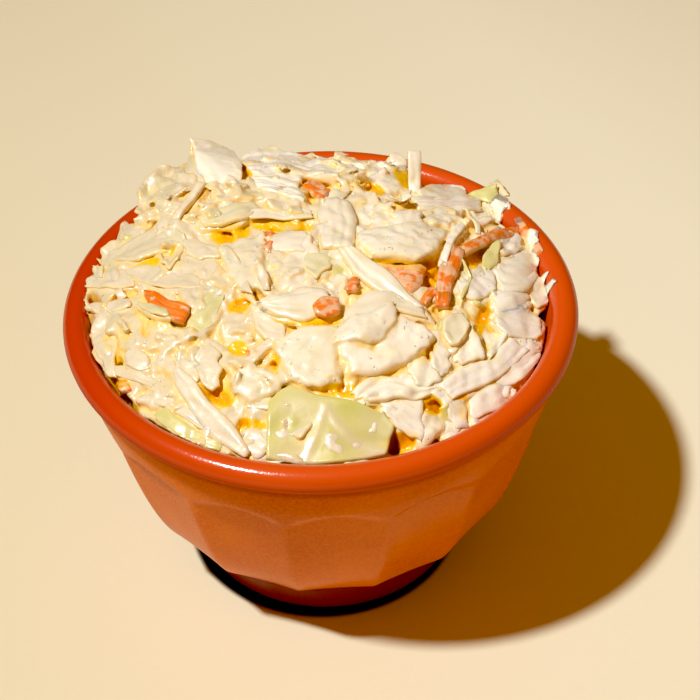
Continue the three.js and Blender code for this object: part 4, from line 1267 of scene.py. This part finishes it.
def dressedFinish(name, ribbed=0.0):
    # Colour from each piece's tint (tone, green, carrot, edge), its depth and shade in the heap, and clouds;
    # the edge, the depth and the shade paint shade in gold.
    colours, look = slawColours, dressing
    material, tree, shader, place = newMaterial(name)
    do, cloudy = partial(calc, tree), partial(noise, tree, place)
    tint, depth, shade = (attribute(tree, label) for label in ("tint", "depth", "shade"))
    tone, green, carrot = wire(tree, "ShaderNodeSeparateColor", Color=tint["Color"]).outputs
    clouds = cloudy(look["clouds"], 3)
    base = ramp(tree, tone, (0, colours["bright"]), (0.42, colours["pale"]), (1, colours["warm"]))
    patches = ramp(tree, cloudy(look["patches"]), (0.46, 0), (0.62, 1))
    patches = do("MULTIPLY", patches, do("MULTIPLY_ADD", tone, *look["patchShare"]))
    base = mix(tree, patches, base, colours["warm"])
    leafy = ramp(tree, cloudy(look["greenPatches"], 3), (0.55, 0), (0.7, 0.3))
    base = mix(tree, leafy, base, colours["paleGreen"])
    greens = mix(tree, clouds, colours["paleGreen"], colours["deepGreen"])
    base = mix(tree, do("MULTIPLY", green, look["greenShare"]), base, greens)
    byTone, low, high, share = look["flakeShare"]
    covered = ranged(tree, do("MULTIPLY_ADD", tone, byTone, cloudy(look["flakes"])), low, high, kind="LINEAR")
    orange = mix(tree, clouds, colours["carrotPale"], colours["carrotDeep"])
    orange = mix(tree, do("MULTIPLY", covered, share), orange, colours["carrotCoat"])
    # Painted shade on the edges of each sheet, partly the yellower cut edge.
    base = mix(tree, do("MULTIPLY", tint["Alpha"], look["edgeShare"]), base, colours["paintedShade"])
    base = mix(tree, carrot, base, orange)
    # Painted shade: gold where other pieces shade a piece.
    base = mix(tree, ramp(tree, shade["Fac"], (0.22, 0), (0.85, 0.85)), base, colours["paintedShade"])
    # Painted shade: gold to deep orange in the hollows and deeper places of the heap.
    base = mix(tree, ramp(tree, depth["Fac"], (0.05, 0), (0.5, 1)), base, colours["hollowShade"])
    base = mix(tree, ramp(tree, depth["Fac"], (0.65, 0), (1, 0.8)), base, colours["deepHollowShade"])
    scale, *dents = look["dents"]
    relief = bump(tree, cloudy(scale), *dents)
    scale, *pores = look["pores"]
    relief = bump(tree, cloudy(scale, 3), *pores, Normal=relief)
    if ribbed:
        layout = wire(tree, "ShaderNodeUVMap", dict(uv_map="pieceUv")).outputs[0]
        stretched = wire(tree, "ShaderNodeMapping", Vector=layout, Scale=look["ribs"]).outputs[0]
        ribs = noise(tree, stretched, 1.0, 3)
        lines = ramp(tree, ribs, (0.42, 0), (0.6, 1))
        base = mix(tree, do("MULTIPLY", lines, look["ribShare"]), base, colours["pale"])
        relief = bump(tree, ribs, ribbed, look["ribDepth"], Normal=relief)
    feed(tree, shader, Base_Color=base, Normal=relief, Coat_Normal=relief, Roughness=look["rough"],
         Subsurface_Weight=look["subsurface"], Subsurface_Radius=look["subsurfaceRadius"],
         Subsurface_Scale=look["subsurfaceScale"] * mm, Coat_Weight=look["coat"],
         Coat_Roughness=look["coatRough"])
    return material


def spreadMax(field, reach):
    # The highest value within reach of each place of the grid.
    steps = int(round(reach / heap["gridStep"]))
    best = field.copy()
    for axis in (0, 1):
        held = best.copy()
        for shift in range(-steps, steps + 1):
            best = np.maximum(best, np.roll(held, shift, axis))
    return best


def blurred(field, rounds):
    for _ in range(rounds):
        for axis in (0, 1):
            field = (np.roll(field, 1, axis) + 2 * field + np.roll(field, -1, axis)) / 4
    return field


# How depth in the heap and shade between the pieces are worked out for the painted shade, in millimetres.
deep = dict(crestReach=2.2, crestBlur=3, open=(3.0, 4.5), hollowShade=(0.9, 2.5), most=0.7, crispShare=0.35)
shading = dict(step=0.5, directions=12, reaches=(0.7, 1.2, 1.9, 2.8, 4.0), slack=0.25, lowest=50.0,
               under=(0.5, 1.5, 0.9))
crest = np.where(gridRadius < heap["radius"], pile, 0)
crest = blurred(spreadMax(crest, deep["crestReach"]), deep["crestBlur"])


def depthOf(points, share=1.0):
    # 0 on the heap's crests to 1 in its hollows, for the painted shade there.
    below = gridAt(crest, points[:, 0], points[:, 1]) - points[:, 2]
    plain, hollowShade = (np.clip((below - start) / over, 0, deep["most"])
                     for start, over in (deep["open"], deep["hollowShade"]))
    return share * (plain + hollowShare(points) * hollowShade)


def verticesOf(mesh):
    points = np.empty(len(mesh.vertices) * 3)
    mesh.vertices.foreach_get("co", points)
    return points.reshape(-1, 3) / mm


def storeValues(mesh, name, values):
    layer = mesh.attributes.new(name, "FLOAT", "POINT")
    layer.data.foreach_set("value", values.astype(np.float32))


def skylineOf(pieces):
    # The height of everything on the heap, on a fine grid.
    step = shading["step"]
    count = int(2 * gridHalf / step) + 2
    field = np.full((count, count), shading["lowest"])
    for piece in pieces:
        points = verticesOf(piece.data)
        i, j = (np.clip(((points[:, k] + gridHalf) / step).astype(int), 0, count - 2) for k in (0, 1))
        raiseGrid(field, i, j, points[:, 2])
    return field


def shadeOf(points, skyline):
    # 0 in the open to 1 under or between other pieces; it sets the painted shade in the slaw's colour.
    step = shading["step"]

    def heightAt(*spot):
        return skyline[tuple(np.clip(((line + gridHalf) / step).round().astype(int), 0, len(skyline) - 1)
                             for line in spot)]

    x, y, z = points.T
    blocked = np.zeros(len(points))
    for turn in np.linspace(0, fullTurn, shading["directions"], endpoint=False):
        rise = np.zeros(len(points))
        for reach in shading["reaches"]:
            higher = heightAt(x + reach * math.cos(turn), y + reach * math.sin(turn)) - z - shading["slack"]
            rise = np.maximum(rise, higher / reach)
        blocked += rise ** 2 / (1 + rise ** 2) / shading["directions"]
    start, over, most = shading["under"]
    return np.maximum(blocked, np.clip((heightAt(x, y) - z - start) / over, 0, most))


def joined(pieces):
    # Many sheets as one list of points, faces, places on the sheet and tints.
    points, faces, uvs, tints = zip(*pieces)
    starts = np.cumsum([0] + [len(some) for some in points[:-1]])
    allFaces = [face for some, start in zip(faces, starts) for face in (some + start).tolist()]
    return np.concatenate(points), allFaces, np.concatenate(uvs), np.concatenate(tints)


def makeMesh(name, points, faces, material, tint=None, uv=None):
    mesh = bpy.data.meshes.new(name)
    mesh.from_pydata((points * mm).tolist(), [], faces)
    mesh.materials.append(material)
    mesh.polygons.foreach_set("use_smooth", np.ones(len(mesh.polygons), bool))
    if tint is not None:
        layer = mesh.attributes.new("tint", "FLOAT_COLOR", "POINT")
        layer.data.foreach_set("color", tint.astype(np.float32).ravel())
    if uv is not None:
        corners = np.empty(len(mesh.loops), int)
        mesh.loops.foreach_get("vertex_index", corners)
        layout = mesh.uv_layers.new(name="pieceUv")
        layout.data.foreach_set("uv", uv[corners].astype(np.float32).ravel())
    mesh.update()
    return addObject(name, mesh)


def asSlaw(piece):
    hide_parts("coleslaw")
    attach(piece, "root")


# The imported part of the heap, down in the bowl.
packed = dict(
    heights=(16, 20, 24, 30, 36, 42, 48, 54, 58, 60),
    ends=(15.5, 61.0),
    underTop=(57.0, 58.0),  # where the dressed core starts
    clear=0.8,  # from the wall
    lowClear=7,  # and below lowHeight
    lowHeight=17,
)


def ringAt(height, turns):
    clear = packed["lowClear"] if height < packed["lowHeight"] else packed["clear"]
    r = float(bodyRadius(height)) - bowl["wallThick"] - clear
    return np.stack([r * np.sin(turns), -r * np.cos(turns), np.full(len(turns), float(height))], -1)


def turnedFaces(rows, segments):
    at = np.arange(rows * segments).reshape(rows, segments)
    after = np.roll(at, -1, 1)
    faces = np.stack([at[:-1], after[:-1], after[1:], at[1:]], -1).reshape(-1, 4).tolist()
    low, high = rows * segments, rows * segments + 1
    faces += [[low, int(b), int(a)] for a, b in zip(at[0], after[0])]
    faces += [[high, int(a), int(b)] for a, b in zip(at[-1], after[-1])]
    return faces


def makeCore():
    turns = np.arange(heap["coreSegments"]) * fullTurn / heap["coreSegments"]
    rows = [ringAt(height, turns) for height in packed["heights"]]
    points = np.concatenate(rows + [np.array([[0, 0, height] for height in packed["ends"]])])
    tint = np.tile((0.6, 0.0, 0.0, 0.0), (len(points), 1))
    faces = turnedFaces(len(rows), len(turns))
    return makeMesh("packedCabbage", points, faces, dressedFinish("packedFinish"), tint)


def coreShape():
    # The dressed core: a lumpy dome under the heap's outline, with the hollows pressed in.
    segments, rings = heap["coreSegments"], heap["coreRings"]
    turns = np.arange(segments) * fullTurn / segments
    rows = [ringAt(height, turns) for height in packed["underTop"]]
    lumps = heap["lumps"]
    phases = np.random.default_rng(lumps["seed"]).uniform(0, phaseReach, (lumps["count"], 3))
    for ring in range(rings, 0, -1):
        r = (heap["radius"] - heap["coreMargin"]) * ring / rings
        x, y = r * np.sin(turns), -r * np.cos(turns)
        swell = 0
        for k, (turn, phase, _) in enumerate(phases):
            along = x * math.cos(turn) + y * math.sin(turn)
            swell = swell + np.sin((lumps["first"] + lumps["step"] * k) * along + phase)
        height = heapTop(x, y) - heap["coreDrop"] - edgeDrop(r) + swell * lumps["height"]
        ringPoints = np.stack([x, y, height], -1)
        ringPoints[:, 2] -= heap["hollowDepth"] * hollowShare(ringPoints, 0.9, 0.5)
        rows.append(ringPoints)
    ends = np.array([[0, 0, packed["underTop"][0]], [0, 0, rows[-1][:, 2].mean()]])
    return np.concatenate(rows + [ends]), turnedFaces(len(rows), segments)


def meltedTree(values):
    # Softens the melted body and gives it the tint of the nearest piece.
    tree, give, given = newTree("dressed body", values)
    soft = wire(tree, "GeometryNodeBlurAttribute", dict(data_type="FLOAT_VECTOR"), Iterations=give["Soften"])
    join(tree, wire(tree, "GeometryNodeInputPosition").outputs[0], liveSocket(soft.inputs, "Value"))
    moved = wire(tree, "GeometryNodeSetPosition", Geometry=give["Geometry"],
                 Position=liveSocket(soft.outputs))
    bumps = wire(tree, "ShaderNodeTexNoise", Scale=give["Relief Scale"], Detail=3.0)
    lift = calc(tree, "MULTIPLY", calc(tree, "SUBTRACT", bumps.outputs[0], 0.5), give["Relief"])
    outward = wire(tree, "ShaderNodeVectorMath", dict(operation="SCALE"),
                   i0=wire(tree, "GeometryNodeInputNormal").outputs[0], Scale=lift)
    moved = wire(tree, "GeometryNodeSetPosition", Geometry=moved.outputs[0], Offset=outward.outputs[0])
    colour = dict(data_type="FLOAT_COLOR")
    source = wire(tree, "GeometryNodeObjectInfo", Object=give["Pieces"])
    named = wire(tree, "GeometryNodeInputNamedAttribute", colour, Name="tint")
    nearest = wire(tree, "GeometryNodeSampleNearestSurface", colour, Mesh=source.outputs["Geometry"])
    join(tree, liveSocket(named.outputs), liveSocket(nearest.inputs, "Value"))
    stored = wire(tree, "GeometryNodeStoreNamedAttribute", dict(colour, domain="POINT"),
                  Geometry=moved.outputs[0], Name="tint")
    join(tree, liveSocket(nearest.outputs), liveSocket(stored.inputs, "Value"))
    endTree(tree, stored.outputs[0], give["Finish"])
    return tree, given


def makeMelted():
    corePoints, coreFaces = coreShape()
    finish = dressedFinish("dressedBody")
    points, faces, _, tint = joined(meltedPieces)
    # The core takes half the painted shade of an edge.
    coreTint = np.tile((0.6, 0.0, 0.0, 0.5), (len(corePoints), 1))
    faces += [[i + len(points) for i in face] for face in coreFaces]
    points, tint = np.concatenate([points, corePoints]), np.concatenate([tint, coreTint])
    height = points[:, 2] - gapSink["above"]
    sunk = hollowShare(points, 1.0, 0.4, gaps) * np.clip(height / gapSink["fade"], 0, 1)
    points[:, 2] -= np.minimum(gapSink["depth"] * sunk, np.maximum(height, 0))
    source = makeMesh("melted source", points, faces, finish, tint)
    holder = makeMesh("melted holder", points, faces, finish)
    remesh = holder.modifiers.new("melt", "REMESH")
    remesh.mode, remesh.voxel_size = "VOXEL", heap["voxel"] * mm
    holder.modifiers.new("thin out", "DECIMATE").ratio = heap["keepShare"]
    values = {"Pieces": source, "Soften": heap["soften"], "Relief": heap["relief"] * mm,
              "Relief Scale": heap["reliefScale"], "Finish": finish}
    piece = plainMeshFrom(holder, *meltedTree(values), "dressedCabbage")
    bpy.data.objects.remove(source, do_unlink=True)
    return piece


meltedBody = makeMelted()
print("stage: melted body,", len(meltedBody.data.polygons), "faces")
# Each piece, and how much of its depth shows in its painted hollow shade.
slawPieces = [(meltedBody, 1.0), (makeCore(), 1.0)]
crispNames = dict(chip="cabbageChips", stem="cabbageStems", shred="cabbageShreds", strand="cabbageStrands",
                  leaf="greenLeaves", carrot="carrotShreds", front="frontLeaf")
ribStrength = dict(stem=0.25, carrot=0.5, front=0)
for cut, name in crispNames.items():
    points, faces, uv, tint = joined(crispPieces[cut])
    finish = dressedFinish(name + "Finish", ribStrength.get(cut, 0.15))
    piece = makeMesh(name, points, faces, finish, tint, uv)
    slawPieces.append((piece, deep["crispShare"]))
    print("stage:", name, len(piece.data.polygons), "faces")
skyline = skylineOf([piece for piece, _ in slawPieces])
for piece, share in slawPieces:
    points = verticesOf(piece.data)
    storeValues(piece.data, "depth", depthOf(points, share))
    storeValues(piece.data, "shade", shadeOf(points, skyline))
    asSlaw(piece)
print("stage: shade between the pieces")

# Beads of dressing, crumbs and pepper: how many lie on the heap, their size in millimetres, how flat they
# are, and their colour and gloss.
fineBits = dict(
    dressingBeads=dict(density=30000, size=(0.08, 0.22), flat=0.6, colour=(0.90, 0.86, 0.74, 1), rough=0.15,
                       seed=3),
    cabbageCrumbs=dict(density=60000, size=(0.1, 0.32), flat=0.5, colour=(0.88, 0.83, 0.66, 1), rough=0.4,
                       seed=8),
    pepperSpecks=dict(density=2600, size=(0.1, 0.2), flat=0.7, colour=(0.12, 0.07, 0.02, 1), rough=0.6,
                      seed=14),
)
bitsAbove, bitsUpward = 64, 0.35  # the lowest place for them, and how far their ground has to face up


def randomValue(tree, seed, least, most):
    node = wire(tree, "FunctionNodeRandomValue", dict(data_type="FLOAT"), Seed=seed)
    join(tree, least, liveSocket(node.inputs, "Min"))
    join(tree, most, liveSocket(node.inputs, "Max"))
    return liveSocket(node.outputs)


def bitsTree(values):
    # Squashed grains on the upward faces of the ground.
    tree, give, given = newTree("fine bits", values)

    def above(kind, least):
        height = axes(tree, wire(tree, kind).outputs[0])[2]
        return wire(tree, "FunctionNodeCompare", dict(data_type="FLOAT", operation="GREATER_THAN"),
                    i0=height, i1=least).outputs[0]

    ground = wire(tree, "GeometryNodeObjectInfo", Object=give["Ground"])
    chosen = wire(tree, "FunctionNodeBooleanMath", dict(operation="AND"),
                  i0=above("GeometryNodeInputPosition", give["Lowest"]),
                  i1=above("GeometryNodeInputNormal", bitsUpward))
    spread = wire(tree, "GeometryNodeDistributePointsOnFaces", Mesh=ground.outputs["Geometry"],
                  Selection=chosen.outputs[0], Density=give["Density"], Seed=give["Seed"])
    grain = wire(tree, "GeometryNodeMeshIcoSphere", Radius=1.0, Subdivisions=1)
    longer = randomValue(tree, give["Seed"], 1.0, 1.9)
    size = randomValue(tree, give["Seed"], give["Least"], give["Most"])
    shape = wire(tree, "ShaderNodeCombineXYZ", X=calc(tree, "MULTIPLY", size, longer), Y=size,
                 Z=calc(tree, "MULTIPLY", size, give["Flat"]))
    turn = wire(tree, "FunctionNodeAxisAngleToRotation", Axis=(0, 0, 1),
                Angle=randomValue(tree, 5, 0.0, 6.28))
    spun = wire(tree, "FunctionNodeRotateRotation", dict(rotation_space="LOCAL"),
                Rotation=spread.outputs["Rotation"], i1=turn.outputs[0])
    placed = wire(tree, "GeometryNodeInstanceOnPoints", Points=spread.outputs["Points"],
                  Instance=grain.outputs[0], Rotation=spun.outputs[0], Scale=shape.outputs[0])
    endTree(tree, placed.outputs[0], give["Finish"])
    return tree, given


def bitFinish(name, colour, rough):
    material, tree, shader, place = newMaterial(name)
    darker = tuple(c * 0.82 for c in colour[:3]) + (1,)
    feed(tree, shader, Base_Color=mix(tree, noise(tree, place, 300, 2), colour, darker), Roughness=rough)
    return material


for name, bits in fineBits.items():
    values = {"Ground": meltedBody, "Density": float(bits["density"]), "Least": bits["size"][0] * mm,
              "Most": bits["size"][1] * mm, "Flat": bits["flat"], "Lowest": bitsAbove * mm,
              "Seed": bits["seed"], "Finish": bitFinish(name + "Finish", bits["colour"], bits["rough"])}
    holder = addObject("bits holder", bpy.data.meshes.new("bits holder"))
    piece = plainMeshFrom(holder, *bitsTree(values), name)
    asSlaw(piece)
    print("stage:", name, len(piece.data.polygons), "faces")

# Floor and lights.
studio = dict(
    floorHalf=1.6,
    floorDull=(0.74, 0.70, 0.485, 1),
    floorPale=(0.97, 1.0, 0.82, 1),
    floorPaintedLight=(0.4, 3.9, 1.8),  # painted light: how pale its middle is, and how fast it is painted paler to the right and back
    contactShadow=(-1.0, -0.9, 31.8, 33.4),  # painted shadow under the bowl, a dark ring: its middle, from and to what radius
    contactShadowColour=(0.004, 0.002, 0.001, 1),
    keyPlace=(-0.316, -0.211, 0.807),
    keyAim=(0, 0, 0.05),
    keyAcross=0.05,
    keyPower=7.3,
    keyColour=(1.0, 0.98, 0.96),
    worldColour=(0.86, 0.36, 0.01, 1),
    fillFrom=(0.45, -0.15, 0.72),
    fillRange=(-0.4, 0.9, 0.03, 0.37),  # from and to how far towards that side, and how strong it is there
    blackLevel=(0.012, 0.010, 0.014),  # what is darker than this turns black, for red, green and blue
)


def paleFloor():
    material, tree, shader, place = newMaterial("paleFloor")
    x, y, _ = axes(tree, place)
    # Painted light: the floor is painted paler to the right and back, between its dull and pale colours.
    middle, toRight, toBack = studio["floorPaintedLight"]
    paintedLight = calc(tree, "MULTIPLY_ADD", x, toRight, middle)
    paintedLight = calc(tree, "MULTIPLY_ADD", y, toBack, paintedLight)
    pale = ramp(tree, paintedLight, (0, studio["floorDull"]), (1, studio["floorPale"]))
    # Painted shadow: a dark ring on the floor around the bowl's foot.
    middleX, middleY, dark, light = [value * mm for value in studio["contactShadow"]]
    apart = wire(tree, "ShaderNodeVectorMath", dict(operation="DISTANCE"), i0=place, i1=(middleX, middleY, 0))
    lit = ranged(tree, apart.outputs["Value"], dark, light)
    feed(tree, shader, Base_Color=mix(tree, lit, studio["contactShadowColour"], pale), Roughness=0.6,
         Normal=bump(tree, noise(tree, place, 900, 2), 0.15, 0.2))
    return material


def makeFloor():
    half = studio["floorHalf"]
    mesh = bpy.data.meshes.new("floor")
    corners = [(-half, -half, 0), (half, -half, 0), (half, half, 0), (-half, half, 0)]
    mesh.from_pydata(corners, [], [(0, 1, 2, 3)])
    mesh.materials.append(paleFloor())
    addObject("floor", mesh)


def makeKey():
    data = bpy.data.lights.new("key", "AREA")
    data.shape = "DISK"
    data.size = studio["keyAcross"]
    data.energy = studio["keyPower"]
    data.color = studio["keyColour"]
    lamp = addObject("key", data)
    lamp.location = studio["keyPlace"]
    aim = Vector(studio["keyAim"]) - Vector(studio["keyPlace"])
    lamp.rotation_euler = aim.to_track_quat("-Z", "Y").to_euler()


def makeWorld():
    # A warm fill that comes from one side.
    world = bpy.data.worlds.new("studio")
    world.use_nodes = True
    tree = world.node_tree
    towards = wire(tree, "ShaderNodeVectorMath", dict(operation="DOT_PRODUCT"),
                   i0=wire(tree, "ShaderNodeTexCoord").outputs["Generated"],
                   i1=Vector(studio["fillFrom"]).normalized())
    feed(tree, tree.nodes["Background"], Color=studio["worldColour"],
         Strength=ranged(tree, towards.outputs["Value"], *studio["fillRange"]))
    bpy.context.scene.world = world


def setContrast():
    picture = bpy.context.scene.view_settings
    picture.view_transform = "Standard"
    picture.use_curve_mapping = True
    picture.curve_mapping.black_level = studio["blackLevel"]
    picture.curve_mapping.update()


makeFloor()
makeKey()
makeWorld()
setContrast()
print("stage: floor and lights")
